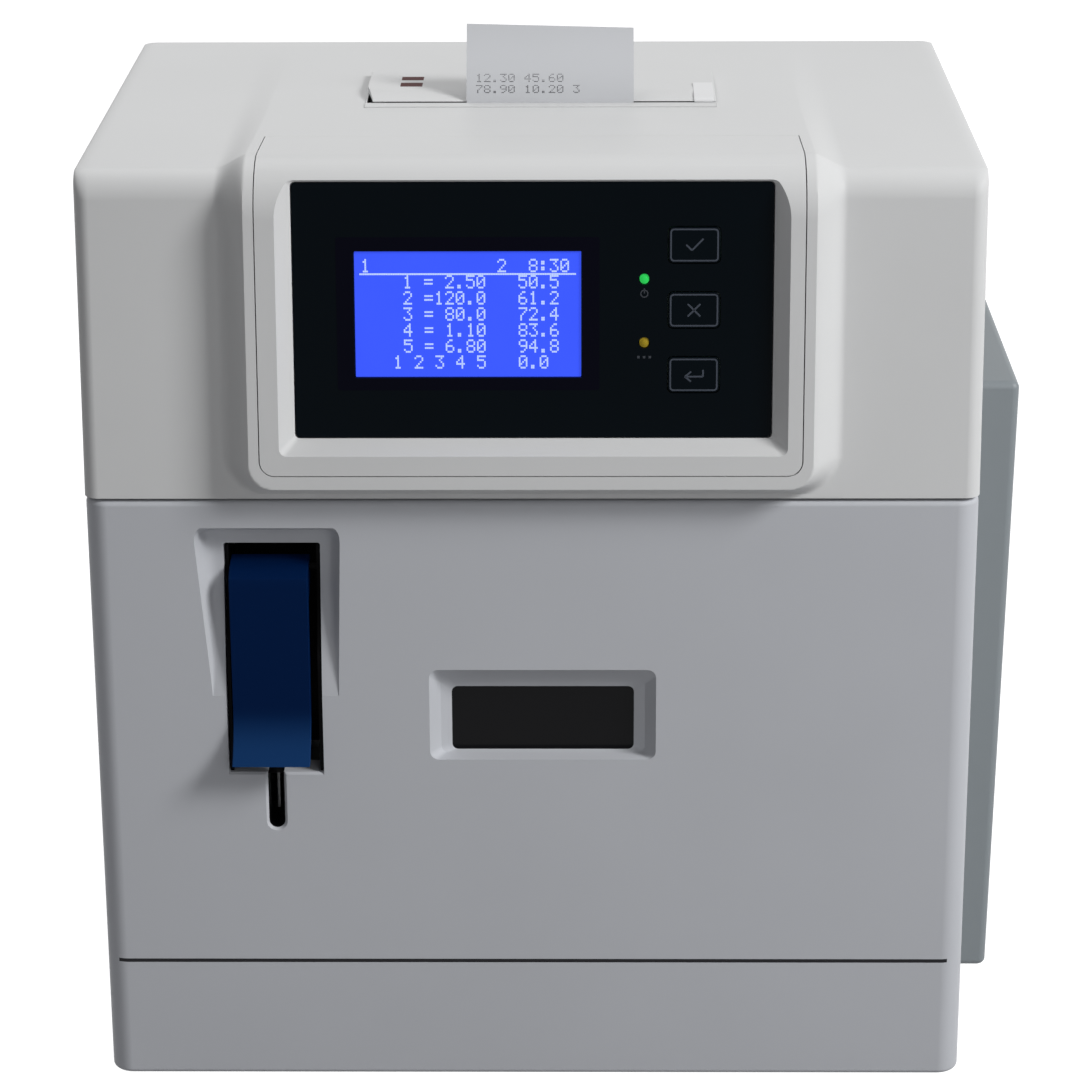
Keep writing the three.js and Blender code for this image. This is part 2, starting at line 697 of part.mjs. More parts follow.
// Lever bracket, a channel with an open front and bottom, and the sampling lever
function leverBracket() {
  const { wall, face: front, back, set } = bracket;
  const [x0, x1] = [cutout.left + gap.fit, cutout.right - gap.fit];
  const [z0, z1] = [cutout.bottom + gap.fit, cutout.top - gap.fit];
  const channel = slabX([
    [front, z0], [back, z0], [back, z1], [set, z1], [set, z1 - bracket.brow],
    [front, z1 - 2 * bracket.brow],
  ], x0, x1);
  const room = block(lever.left - gap.seam, x1 - wall, -gap.over, bracket.deep, z0 - gap.over, z1 - wall);
  const axle = rodX(x0 - gap.over, x1 + gap.over, lever.pivotY, lever.pivotZ, lever.pin + gap.fit);
  return cut(channel, room, axle);
}

piece('lever_bracket', leverBracket(), paints.black);

const leverRight = lever.left + lever.width;
const bracketLeft = cutout.left + gap.fit;
const bracketRight = cutout.right - gap.fit;
piece('lever_pin', rodX(bracketLeft, bracketRight, lever.pivotY, lever.pivotZ, lever.pin), paints.steel);

function probeLever() {
  const { top, bottom, pivotY, pivotZ, hub, front, brow, lip, shell } = lever;
  const outer = [
    [pivotY, top], [front - brow + shell / 2, top - brow + shell], [front - brow, top - brow],
    [front - brow, bottom + lip + hub], [front - brow - lip / 2, bottom + lip / 2],
    [front - brow - lip, bottom],
  ];
  const inner = [
    [front - brow - lip + shell, bottom], [front - brow + shell, bottom + lip], [front, bottom + lip + hub],
    [front, pivotZ - 2 * hub], [pivotY + hub, pivotZ - hub], [pivotY + hub, pivotZ + hub / 2],
    [pivotY + hub / 2, top - shell / 4],
  ];
  const arm = slabX([...outer, ...inner], lever.left, leverRight);
  return cut(arm, rodX(lever.left - gap.over, leverRight + gap.over, pivotY, pivotZ, lever.pin + gap.fit));
}

piece('probe_lever', probeLever(), paints.navy);

function needleHolder() {
  const tube = rodZ(slot.x, needle.y, needle.holderEnd, needle.holderTop, needle.holder);
  const foot = block(
    slot.x - needle.holder, slot.x + needle.holder, lever.front + gap.fit, needle.y,
    needle.holderTop - needle.clip, needle.holderTop,
  );
  return cut(
    join(tube, foot),
    rodZ(
      slot.x, needle.y, needle.holderEnd - gap.over, needle.holderTop + gap.over, needle.radius + gap.fit,
    ),
  );
}

piece('needle_holder', needleHolder(), paints.black);
piece(
  'sample_needle', rodZ(slot.x, needle.y, needle.tip, needle.holderTop + needle.clip, needle.radius),
  paints.steel,
);

// Hinge pins
piece(
  'hinge_pin_upper', rodZ(pinX, hinge.depth, body.seam - hinge.length, deckTop, hinge.pin), paints.steel,
);
piece('hinge_pin_lower', rodZ(pinX, hinge.depth, trayLow, hinge.length, hinge.pin), paints.steel);

// Printer: a cradle in the top, its lid with the platen, the head, and the paper
const lidLow = body.top + 2 * gap.fit;

function printerFrame() {
  const { left, right, side, bar } = printer;
  const [front, back, floor] = [printerFront, printerBack, body.top - printer.depth];
  const box = block(left, right, front, back, floor, body.top + gap.fit);
  const room = block(
    left + side, right - side, front + side, back - side, floor + side, body.top + gap.over,
  );
  const lip = slabX([
    [front, body.top], [front + bar, body.top], [front + bar, body.top + printer.rise],
    [front + printer.ramp, body.top + printer.rise],
  ].reverse(), left, right);
  return join(cut(box, room), asSolid(lip));
}

piece('printer_frame', printerFrame(), paints.casing);

function printerCover() {
  const { left, right, bar, rise: high, ear } = printer;
  const [front, back] = [printerFront, printerBack];
  const edge = front + bar + printer.slit;
  const wedge = slabX(
    [[edge, lidLow], [edge, body.top + high], [back, lidLow + printer.tail], [back, lidLow]].reverse(),
    left, right,
  );
  const ears = [left + printer.side + gap.fit, right - printer.side - gap.fit - ear].map((x) => (
    block(x, x + ear, platenY - ear, platenY + ear, platenZ - platen.pin - ear / 2, lidLow + gap.fit)));
  const bore = rodX(left, right, platenY, platenZ, platen.pin + gap.fit);
  return cut(join(wedge, ...ears), bore);
}

piece('printer_cover', printerCover(), paints.casing);

function platenRoller() {
  const x0 = printer.left + printer.side + 2 * gap.fit;
  const x1 = printer.right - printer.side - 2 * gap.fit;
  const inset = printer.ear + gap.fit;
  return join(
    rodX(x0, x1, platenY, platenZ, platen.pin),
    rodX(x0 + inset, x1 - inset, platenY, platenZ, platen.radius, arc.round),
  );
}

piece('platen_roller', platenRoller(), paints.rubber);

const headBack = printerFront + printer.bar;
piece(
  'print_head',
  block(
    paper.left - paper.margin, paper.left + paper.width + paper.margin,
    printerFront + printer.side + gap.fit, headBack, platenZ - platen.radius - platen.head, platenZ,
  ),
  paints.steel,
);

const spindleLeft = printer.left + printer.side + gap.fit;
const spindleRight = printer.right - printer.side - gap.fit;
piece('paper_spindle', rodX(spindleLeft, spindleRight, rollY, rollZ, paper.core - gap.fit), paints.black);

function paperRoll() {
  const x0 = paper.left;
  const x1 = x0 + paper.width;
  const bore = rodX(x0 - gap.over, x1 + gap.over, rollY, rollZ, paper.core, arc.round);
  return cut(rodX(x0, x1, rollY, rollZ, paper.roll, arc.round), bore);
}

piece('paper_roll', paperRoll(), paints.paper);

function paperStrip() {
  const curve = new THREE.CubicBezierCurve(
    new THREE.Vector2(slotY, lidLow - paper.tuck), new THREE.Vector2(slotY, lidLow + paper.straight),
    new THREE.Vector2(
      slotY + paper.curl / 2, lidLow + paper.out - paper.curl,
    ), new THREE.Vector2(slotY + paper.curl, lidLow + paper.out),
  );
  const steps = arc.round / 2;
  const side = (sign) => Array.from({ length: steps + 1 }, (_, i) => {
    const point = curve.getPoint(i / steps);
    const along = curve.getTangent(i / steps);
    const half = (sign * paper.thick) / 2;
    return [point.x - half * along.y, point.y + half * along.x];
  });
  return slabX([...side(1), ...side(-1).reverse()].reverse(), paper.left, paper.left + paper.width);
}

piece('paper_strip', paperStrip(), paints.paper);

// Fluid parts on the mounting plate, behind the door
const plateFace = plate.y - gap.fit;
const cellX = (i) => cell.left + cell.start + i * cell.pitch;
const cellNames = [
  'electrode_1', 'electrode_2', 'electrode_3', 'electrode_4', 'electrode_5', 'reference_electrode',
];

function electrodeHousing() {
  const box = block(cell.left, cell.right, cell.front, plateFace, cell.bottom, cell.top);
  const bores = cellNames.map((_, i) => rodY(cellX(i), 0, cell.seat, cell.z, cell.radius + gap.fit));
  const drain = rodX(cell.left - gap.over, cell.right + gap.over, cell.flowY, cell.z, cell.flow);
  return cut(box, ...bores, drain);
}

piece('electrode_housing', electrodeHousing(), paints.acrylic);
cellNames.forEach((name, i) => {
  const stem = rodY(cellX(i), cell.nose, cell.seat - gap.fit, cell.z, cell.radius);
  const cap = rodY(cellX(i), cell.nose - cell.cap, cell.nose, cell.z, cell.radius - cell.step);
  piece(name, join(stem, cap), paints.cell);
});

function sampleDetector() {
  const box = block(
    cell.left - sensor.width - gap.fit, cell.left - gap.fit, cell.front, plateFace, cell.z - sensor.half,
    cell.z + sensor.half,
  );
  return cut(box, rodX(-halfWidth, halfWidth, cell.flowY, cell.z, cell.flow));
}

piece('sample_detector', sampleDetector(), paints.black);

// Peristaltic pump
const rollerSpots = Array.from({ length: pump.rollers }, (_, i) => {
  const angle = arc.turn + (i * 4 * arc.turn) / pump.rollers;
  return [pumpX + pump.orbit * Math.cos(angle), pump.z + pump.orbit * Math.sin(angle)];
});

function pumpBlock() {
  const half = pump.body / 2;
  const box = block(pumpX - half, pumpX + half, pump.face, plateFace, pump.z - half, pump.z + half);
  const track = rodY(pumpX, pump.face - gap.over, plateFace - pump.floor, pump.z, pump.track, arc.round);
  const legs = block(
    pumpX - pump.track, pumpX + pump.track, pump.face - gap.over, plateFace - pump.floor,
    pump.z - body.width, pump.z,
  );
  const shaft = rodY(pumpX, 0, body.depth, pump.z, pump.shaft + gap.fit);
  return cut(box, track, legs, shaft);
}

piece('pump_block', pumpBlock(), paints.black);

function pumpRotor() {
  const { face: front, rotor, disc, floor } = pump;
  const back = plateFace - floor - gap.fit;
  const plates = [front, back - disc].map(
    (y) => rodY(pumpX, y, y + disc, pump.z, rotor + pump.roller, arc.round)
  );
  const hub = rodY(pumpX, front, back, pump.z, rotor - pump.roller - pump.hubGap);
  const rollers = rollerSpots.map(([x, z]) => rodY(x, front + gap.fit, back - gap.fit, z, pump.roller));
  return cut(
    join(hub, ...plates, ...rollers), rodY(pumpX, front + disc, body.depth, pump.z, pump.shaft + gap.fit),
  );
}

piece('pump_rotor', pumpRotor(), paints.cell);

function pumpMotor() {
  const front = plate.y + plate.thick + gap.fit;
  const can = rodY(pumpX, front, front + pump.length, pump.z, pump.motor, arc.round);
  const shaft = rodY(pumpX, pump.face + pump.disc + gap.fit, front + gap.over, pump.z, pump.shaft);
  return join(can, shaft);
}

piece('pump_motor', pumpMotor(), paints.steel);

class PumpPath extends THREE.Curve {
  getPoint(t, target = new THREE.Vector3()) {
    const radius = pump.track - gap.fit - pump.tube;
    const y = (pump.face + plateFace - pump.floor) / 2;
    const arcLength = Math.PI * radius;
    const along = t * (arcLength + 2 * pump.leg);
    if (along < pump.leg) return target.set(pumpX - radius, y, pump.z - pump.leg + along);
    if (along > pump.leg + arcLength) return target.set(
      pumpX + radius, y, pump.z - (along - pump.leg - arcLength),
    );
    const angle = Math.PI - (along - pump.leg) / radius;
    return target.set(pumpX + radius * Math.cos(angle), y, pump.z + radius * Math.sin(angle));
  }
}

function pumpTube() {
  const section = new THREE.Shape();
  section.absarc(0, 0, pump.tube, 0, 4 * arc.turn);
  const path = {
    steps: arc.round * 2, curveSegments: arc.steps, bevelEnabled: false, extrudePath: new PumpPath(),
  };
  return new THREE.ExtrudeGeometry(section, path);
}

piece('pump_tube', pumpTube(), paints.tube);

// Pinch valves: a block with two coils and two plungers
const valveNames = ['valve_plunger_left', 'valve_plunger_right'];
const valveSpots = [-1, 1].map((side) => valve.x + (side * valve.pitch) / 2);
const valveTop = valve.bottom + valve.height;

function valveBlock() {
  const half = valve.width / 2;
  const box = block(valve.x - half, valve.x + half, valve.front, plateFace, valve.bottom, valveTop);
  const coils = valveSpots.map(
    (x) => rodZ(x, valve.y, valveTop - gap.fit, valveTop + valve.coil, valve.radius, arc.round)
  );
  const bores = valveSpots.map(
    (x) => rodZ(
      x, valve.y, valve.bottom - gap.over, valveTop + valve.coil - valve.plug, valve.plunger + gap.fit,
    )
  );
  return cut(join(box, ...coils), ...bores);
}

piece('valve_block', valveBlock(), paints.black);
valveNames.forEach((name, i) => {
  const top = valveTop + valve.coil - valve.plug - valve.stroke - gap.fit;
  piece(name, rodZ(valveSpots[i], valve.y, valve.bottom - valve.stroke, top, valve.plunger), paints.steel);
});

// Reagent pack: a bay in the right side, a tub with three bottles, and the outer cover
const bayLeft = bayInner - bay.wall;
const tubRight = halfWidth + pack.outBottom - pack.wall - gap.fit;
const nozzleSpots = [0, 1, 2].map((i) => bayFront + bottleStart + i * bottlePitch);

function packBay() {
  const { bottom, wall } = bay;
  const [left, front, back, top] = [bayInner, bayFront, bayBack, bayTop];
  const box = block(bayLeft, insideX, front - wall, back + wall, bottom - wall, top + wall);
  const room = block(left, halfWidth, front, back, bottom, top);
  const dock = block(
    bayLeft - nozzle.dock, left, nozzleSpots[0] - nozzle.edge, nozzleSpots[2] + nozzle.edge,
    nozzle.z - nozzle.edge, nozzle.z + nozzle.edge,
  );
  const sockets = nozzleSpots.map(
    (y) => rodX(left - nozzle.reach - 2 * gap.fit, left + gap.over, y, nozzle.z, nozzle.radius + gap.fit)
  );
  return cut(join(box, dock), room, ...sockets);
}

piece('pack_bay', packBay(), paints.black);

function packTub() {
  const { bottom, wall } = bay;
  const [left, front, back, top] = [bayInner, bayFront, bayBack, bayTop];
  const grow = gap.fit + wall;
  const box = block(
    left + gap.fit, tubRight, front + gap.fit, back - gap.fit, bottom + gap.fit, top - gap.fit,
  );
  const room = block(
    left + grow, tubRight + gap.over, front + grow, back - grow, bottom + grow, top - grow,
  );
  const nozzles = nozzleSpots.map(
    (y) => rodX(left - nozzle.reach, left + grow, y, nozzle.z, nozzle.radius)
  );
  return cut(join(box, ...nozzles), room);
}

piece('pack_tub', packTub(), paints.pack);

function packCover() {
  const { front, bottom, round, wall } = pack;
  const [back, top, outTop, outBottom] = [
    packBack, packTop, halfWidth + pack.outTop, halfWidth + pack.outBottom,
  ];
  const inner = halfWidth + gap.fit;
  const ring = (z, out, inset) => planRing(
    z, inner, out - inset, front + inset, back - inset, round - inset / 2, round - inset / 2,
  );
  const slope = (outTop - outBottom) / (top - bottom);
  const outAt = (z) => outBottom + slope * (z - bottom);
  const skin = loft([
    ring(bottom, outAt(bottom), round), ring(bottom + round, outAt(bottom), 0),
    ring(top - round, outAt(top), 0), ring(top, outAt(top), round),
  ]);
  const room = block(0, outBottom - wall, front + wall, back - wall, bottom + wall, top - wall);
  return cut(skin, room);
}

piece('pack_cover', packCover(), paints.pack);

function bottleShape(y) {
  const low = bay.bottom + bay.wall + 2 * gap.fit;
  const x = (bayInner + tubRight) / 2;
  const { shoulder, neck, height, cap } = bottle;
  const outline = [
    [0, 0], [bottleRadius, 0], [bottleRadius, shoulder], [neck, shoulder + neck], [neck, height - cap],
    [neck + gap.over, height - cap], [neck + gap.over, height], [0, height],
  ];
  const turned = new THREE.LatheGeometry(outline.map(([r, z]) => new THREE.Vector2(r, z)), arc.round);
  return turned.rotateX(arc.turn).translate(x, y, low);
}

['standard_bottle_a', 'standard_bottle_b', 'waste_bottle'].forEach((name, i) => {
  piece(name, bottleShape(nozzleSpots[i]), paints.clear);
});

// Electronics and the back
function mainBoard() {
  const behind = plate.y + plate.thick + gap.fit;
  const front = behind + board.post;
  const sheet = block(
    boardLeft, boardRight, front, front + pcb.thick, board.bottom, boardTop,
  );
  const postX = [boardLeft + board.edge, boardRight - board.edge];
  const postZ = [board.bottom + board.edge, boardTop - board.edge];
  const posts = postX.flatMap((x) => postZ.map((z) => rodY(x, behind, front + gap.fit, z, board.edge / 2)));
  const chips = chipShares.map(([x, z, wide, tall]) => {
    const x0 = boardLeft + x * (boardRight - boardLeft);
    const z0 = board.bottom + z * (boardTop - board.bottom);
    return block(
      x0, x0 + wide * (boardRight - boardLeft), front, front + pcb.thick + board.chip, z0,
      z0 + tall * (boardTop - board.bottom),
    );
  });
  return join(sheet, ...posts, ...chips);
}

piece('main_board', mainBoard(), paints.board);

function powerSupply() {
  const { height, lug } = supply;
  const front = supplyBack - supply.deep;
  const box = block(supplyLeft, supplyRight, front, supplyBack, 0, height);
  const lugs = block(supplyLeft - lug, supplyRight + lug, front + lug, supplyBack - lug, 0, pcb.thick);
  return join(box, lugs);
}

piece('power_supply', powerSupply(), paints.steel);

function powerInlet() {
  const { z, half, tall, flange, thick, length, wall, pin } = inlet;
  const x = inletX;
  const outside = body.depth + gap.fit;
  const plateShape = block(
    x - half - flange, x + half + flange, outside, outside + thick, z - tall - flange, z + tall + flange,
  );
  const shell = block(
    x - half + gap.fit, x + half - gap.fit, outside - length, outside + gap.fit, z - tall + gap.fit,
    z + tall - gap.fit,
  );
  const room = block(
    x - half + wall, x + half - wall, outside - length + wall, body.width, z - tall + wall, z + tall - wall,
  );
  const pins = [-1, 0, 1].map(
    (i) => rodY(
      x + (i * half) / 2, outside - length + gap.fit, outside - 2 * wall, z + (i ? -pin : pin), pin,
    )
  );
  return join(cut(join(plateShape, shell), room), ...pins);
}

piece('power_inlet', powerInlet(), paints.black);

function serialPort() {
  const { z, half, tall, flange, thick, length } = port;
  const x = portX;
  const outside = body.depth + gap.fit;
  const plateShape = block(
    x - half - flange, x + half + flange, outside, outside + thick, z - tall - gap.fit, z + tall + gap.fit,
  );
  const shell = block(
    x - half + gap.fit, x + half - gap.fit, outside - length, outside + thick + thick, z - tall + gap.fit,
    z + tall - gap.fit,
  );
  return join(plateShape, shell);
}

piece('serial_port', serialPort(), paints.steel);

// Power switch: a rocker on a cross pin in its own frame
function powerSwitch() {
  const { z, half, tall, deep, crest } = rocker;
  const x = rockerX;
  const outside = body.depth - gap.fit;
  const outline = [
    [outside - deep / 2, z - tall], [outside + crest, z - tall], [outside, z], [outside + crest, z + tall],
    [outside - deep / 2, z + tall],
  ];
  const reach = half + rocker.frame - gap.over - gap.fit;
  const trunnion = rodX(x - reach, x + reach, body.depth - body.wall / 2, z, rocker.pin);
  return join(slabX(outline, x - half, x + half), trunnion);
}

piece('power_switch', powerSwitch(), paints.black);

// The origin is the middle of the whole object's footprint
const analyzer = new THREE.Group();
analyzer.add(instrument);
const extent = new THREE.Box3().setFromObject(analyzer);
const middle = extent.getCenter(new THREE.Vector3());
analyzer.position.set(-middle.x, -middle.y, -extent.min.z);

export default analyzer;
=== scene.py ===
"""Bench electrolyte analyzer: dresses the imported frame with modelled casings, display, lever and finishes."""
import json
import logging
import math
from collections.abc import Iterable, Sequence
from dataclasses import dataclass
from enum import Enum

import bmesh
import bpy
from mathutils import Matrix, Vector


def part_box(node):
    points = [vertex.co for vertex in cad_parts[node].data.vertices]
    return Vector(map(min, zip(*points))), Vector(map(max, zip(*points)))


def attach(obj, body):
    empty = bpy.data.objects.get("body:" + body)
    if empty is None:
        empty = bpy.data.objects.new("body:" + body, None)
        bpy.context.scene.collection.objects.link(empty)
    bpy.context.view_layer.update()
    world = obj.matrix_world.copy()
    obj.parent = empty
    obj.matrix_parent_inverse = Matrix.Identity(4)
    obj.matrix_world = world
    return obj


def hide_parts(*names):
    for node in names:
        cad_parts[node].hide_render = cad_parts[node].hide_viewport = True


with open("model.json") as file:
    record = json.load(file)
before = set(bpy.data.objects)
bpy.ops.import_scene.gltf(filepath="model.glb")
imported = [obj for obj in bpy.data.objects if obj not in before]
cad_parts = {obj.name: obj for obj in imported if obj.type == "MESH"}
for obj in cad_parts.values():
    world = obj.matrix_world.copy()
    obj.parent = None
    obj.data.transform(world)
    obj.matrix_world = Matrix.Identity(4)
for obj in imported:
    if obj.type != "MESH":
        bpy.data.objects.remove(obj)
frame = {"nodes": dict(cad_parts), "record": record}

LOG = logging.getLogger("analyzer")
MM = 0.001
Point = tuple[float, float, float]
Flat = tuple[float, float]
Box = tuple[float, float, float, float]
Colour = tuple[float, float, float]
Finishes = dict[str, bpy.types.Material]
UNIT: Point = (1.0, 1.0, 1.0)
BLEND_LOW, BLEND_HIGH, BLEND_RESULT = 6, 7, 2


@dataclass(frozen=True)
class Body:
    """The casing's driving sizes in millimetres, from the underside, centre line and door face."""

    width: float = 290.0
    depth: float = 213.0
    top: float = 313.9
    seam: float = 207.15
    wall: float = 3.0
    corner: float = 7.5
    lean: float = math.radians(4.5)

    @property
    def half(self) -> float:
        """Half the casing's width."""
        return self.width / 2

    def face(self, z: float) -> float:
        """Depth of the leaning upper front at a height."""
        return (z - self.seam) * math.tan(self.lean)


BODY = Body()


@dataclass(frozen=True)
class Place:
    """Turns millimetres in the casing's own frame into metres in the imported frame."""

    x: float
    y: float
    z: float

    @classmethod
    def from_casing(cls) -> "Place":
        """Read the casing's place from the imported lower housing."""
        low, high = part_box("lower_housing")
        return cls((low.x + high.x) / 2, high.y - BODY.depth * MM, low.z)

    def at(self, point: Sequence[float]) -> Vector:
        """Place one point.

        Args:
            point: x, y and z in millimetres.

        Returns:
            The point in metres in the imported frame.
        """
        return Vector((self.x + point[0] * MM, self.y + point[1] * MM, self.z + point[2] * MM))


# Shader maths


class Signal:
    """A number that varies over a surface, written with ordinary operators."""

    def __init__(self, paint: "Paint", socket: bpy.types.NodeSocket) -> None:
        """Wrap an output socket.

        Args:
            paint: The paint whose node tree holds the socket.
            socket: The output socket.
        """
        self.paint = paint
        self.socket = socket

    def _math(self, operation: str, first: object, second: object) -> "Signal":
        """Add one Math node and return its value."""
        node = self.paint.node("ShaderNodeMath", {"operation": operation}, {0: first, 1: second})
        return Signal(self.paint, node.outputs[0])

    def __add__(self, other: object) -> "Signal":
        """Sum."""
        return self._math("ADD", self, other)

    __radd__ = __add__

    def __sub__(self, other: object) -> "Signal":
        """Difference."""
        return self._math("SUBTRACT", self, other)

    def __mul__(self, other: object) -> "Signal":
        """Product."""
        return self._math("MULTIPLY", self, other)

    __rmul__ = __mul__

    def below(self, limit: object) -> "Signal":
        """One where the value is under a limit."""
        return self._math("LESS_THAN", self, limit)

    def above(self, limit: object) -> "Signal":
        """One where the value is over a limit."""
        return self._math("GREATER_THAN", self, limit)

    def ramp(self, low: float, high: float) -> "Signal":
        """Smooth step from zero to one.

        Args:
            low: Value where the step starts.
            high: Value where it ends.

        Returns:
            The stepped signal.
        """
        values = {"Value": self, "From Min": low, "From Max": high}
        node = self.paint.node("ShaderNodeMapRange", {"interpolation_type": "SMOOTHSTEP"}, values)
        return Signal(self.paint, node.outputs[0])


class Paint:
    """A material under construction: its node tree, coordinates and final shader."""

    def __init__(self, name: str) -> None:
        """Start a material with one Principled shader.

        Args:
            name: The material's name.
        """
        self.material = bpy.data.materials.new(name)
        self.material.use_nodes = True
        self.tree = self.material.node_tree
        self.shader = self.tree.nodes["Principled BSDF"]

    def node(self, kind: str, settings: dict[str, object], values: dict[object, object]) -> bpy.types.Node:
        """Add a node.

        Args:
            kind: The node's type name.
            settings: The node's own properties, set first.
            values: A value, Signal or socket for each named or numbered input.

        Returns:
            The new node.
        """
        node = self.tree.nodes.new(kind)
        for key, value in settings.items():
            setattr(node, key, value)
        for key, value in values.items():
            self.feed(node.inputs[key], value)
        return node

    def feed(self, socket: bpy.types.NodeSocket, value: object) -> None:
        """Link or set one input socket.

        Args:
            socket: The input.
            value: A signal or socket to link, or a plain value to set.
        """
        if isinstance(value, Signal):
            self.tree.links.new(value.socket, socket)
        elif isinstance(value, bpy.types.NodeSocket):
            self.tree.links.new(value, socket)
        elif isinstance(value, tuple) and len(value) == 3 and socket.type == "RGBA":
            socket.default_value = (*value, 1.0)
        else:
            socket.default_value = value

    def coordinates(self, stretch: Point = UNIT) -> bpy.types.NodeSocket:
        """Object coordinates, scaled along each axis.

        Args:
            stretch: Factor along each axis.

        Returns:
            The scaled coordinates' socket.
        """
        source = self.node("ShaderNodeTexCoord", {}, {})
        mapping = self.node("ShaderNodeMapping", {}, {"Vector": source.outputs["Object"], "Scale": stretch})
        return mapping.outputs[0]

    def axes(self) -> tuple[Signal, Signal, Signal]:
        """The three object coordinates as separate signals, in metres."""
        node = self.node("ShaderNodeSeparateXYZ", {}, {0: self.coordinates()})
        return tuple(Signal(self, output) for output in node.outputs)

    def noise(self, scale: float, detail: float = 3.0, stretch: Point = UNIT) -> Signal:
        """Cloudy noise from zero to one."""
        values = {"Vector": self.coordinates(stretch), "Scale": scale, "Detail": detail}
        return Signal(self, self.node("ShaderNodeTexNoise", {}, values).outputs[0])

    def blend(self, factor: Signal, low: object, high: object) -> bpy.types.NodeSocket:
        """Mix two colours by a factor.

        Args:
            factor: Zero for the first colour, one for the second.
            low: First colour or its socket.
            high: Second colour or its socket.

        Returns:
            The mixed colour's socket.
        """
        node = self.node("ShaderNodeMix", {"data_type": "RGBA"}, {"Factor": factor})
        self.feed(node.inputs[BLEND_LOW], low)
        self.feed(node.inputs[BLEND_HIGH], high)
        return node.outputs[BLEND_RESULT]

    def bump(self, height: Signal, distance: float, strength: float = 1.0) -> None:
        """Raise the surface by a height signal, in metres."""
        node = self.node("ShaderNodeBump", {}, {"Height": height, "Distance": distance, "Strength": strength})
        self.tree.links.new(node.outputs[0], self.shader.inputs["Normal"])

    def set(self, **values: object) -> None:
        """Set or link the shader's sockets by name, with underscores for spaces."""
        for key, value in values.items():
            self.feed(self.shader.inputs[key.replace("_", " ")], value)


def shade(colour: Colour, factor: float) -> Colour:
    """Scale a colour's brightness."""
    return tuple(min(1.0, channel * factor) for channel in colour)


@dataclass(frozen=True)
class Moulded:
    """Moulded plastic with a fine spark-eroded grain and faint mottling."""

    name: str
    colour: Colour
    roughness: float = 0.45
    grain: float = 2600.0
    relief: float = 0.00002
    mottle: float = 0.04
    translucent: float = 0.0
    sheen: float = 0.5

    def paint(self) -> Paint:
        """Build the shared nodes of the finish.

        Returns:
            The paint, still open for a kind of plastic to add to.
        """
        paint = Paint(self.name)
        cloud = paint.noise(14.0, 2.0)
        low, high = shade(self.colour, 1 - self.mottle), shade(self.colour, 1 + self.mottle)
        paint.set(Base_Color=paint.blend(cloud, low, high), IOR=1.46)
        paint.set(Roughness=self.roughness + (cloud - 0.5) * 0.12)
        paint.set(Transmission_Weight=self.translucent, Specular_IOR_Level=self.sheen)
        paint.bump(paint.noise(self.grain, 2.0), self.relief, 0.5)
        return paint

    def material(self) -> bpy.types.Material:
        """Return the finished material."""
        return self.paint().material


@dataclass(frozen=True)
class DoorPlastic(Moulded):
    """The door's plastic with one thin printed line near its foot."""

    line_low: float = 0.0
    line_high: float = 0.0
    line_left: float = 0.0
    line_right: float = 0.0
    ink: Colour = (0.012, 0.012, 0.014)

    def material(self) -> bpy.types.Material:
        """Add the printed line by height and width.

        Returns:
            The finished material.
        """
        paint = self.paint()
        x, _, z = paint.axes()
        high = z.above(self.line_low) * z.below(self.line_high)
        mask = high * x.above(self.line_left) * x.below(self.line_right)
        plain = paint.shader.inputs["Base Color"].links[0].from_socket
        paint.set(Base_Color=paint.blend(mask, plain, self.ink))
        return paint.material


@dataclass(frozen=True)
class LeverPlasticWithPaintedHighlight(Moulded):
    """The lever's coloured plastic, with a painted highlight: paler towards the lip, where it flares up into the
    light.
    """

    # Colour of the painted highlight on the lip, and the heights over which it fades into the plain blue
    lip: Colour = (0.0, 0.0, 0.0)
    highlight_low: float = 0.0
    highlight_high: float = 1.0

    def material(self) -> bpy.types.Material:
        """Blend towards the painted highlight's colour by height.

        Returns:
            The finished material.
        """
        paint = self.paint()
        # Painted highlight at the lip, fading into the plain blue higher up
        height = paint.axes()[2].ramp(self.highlight_low, self.highlight_high)
        plain = paint.shader.inputs["Base Color"].links[0].from_socket
        paint.set(Base_Color=paint.blend(height, self.lip, plain))
        return paint.material


@dataclass(frozen=True)
class Gloss:
    """Smooth glossy plastic or printed film with faint long waves."""

    name: str
    colour: Colour
    roughness: float = 0.08
    wave: float = 0.00003
    sheen: float = 0.03

    def material(self) -> bpy.types.Material:
        """Build the finish.

        Returns:
            The finished material.
        """
        paint = Paint(self.name)
        cloud = paint.noise(30.0, 3.0)
        paint.set(Base_Color=paint.blend(cloud, shade(self.colour, 0.9), shade(self.colour, 1.12)), IOR=1.5)
        paint.set(Roughness=self.roughness + cloud * 0.05, Specular_IOR_Level=self.sheen)
        paint.bump(paint.noise(22.0, 1.0), self.wave, 0.6)
        return paint.material


@dataclass(frozen=True)
class Metal:
    """Sheet or turned metal with drawn lines along one axis."""

    name: str
    colour: Colour
    roughness: float = 0.32
    stretch: Point = (40.0, 40.0, 1200.0)

    def material(self) -> bpy.types.Material:
        """Build the finish.

        Returns:
            The finished material.
        """
        paint = Paint(self.name)
        lines = paint.noise(1.0, 4.0, self.stretch)
        paint.set(Base_Color=paint.blend(lines, shade(self.colour, 0.82), shade(self.colour, 1.08)))
        paint.set(Metallic=1.0, Roughness=self.roughness + (lines - 0.5) * 0.2)
        paint.bump(lines, 0.00001, 0.4)
        return paint.material


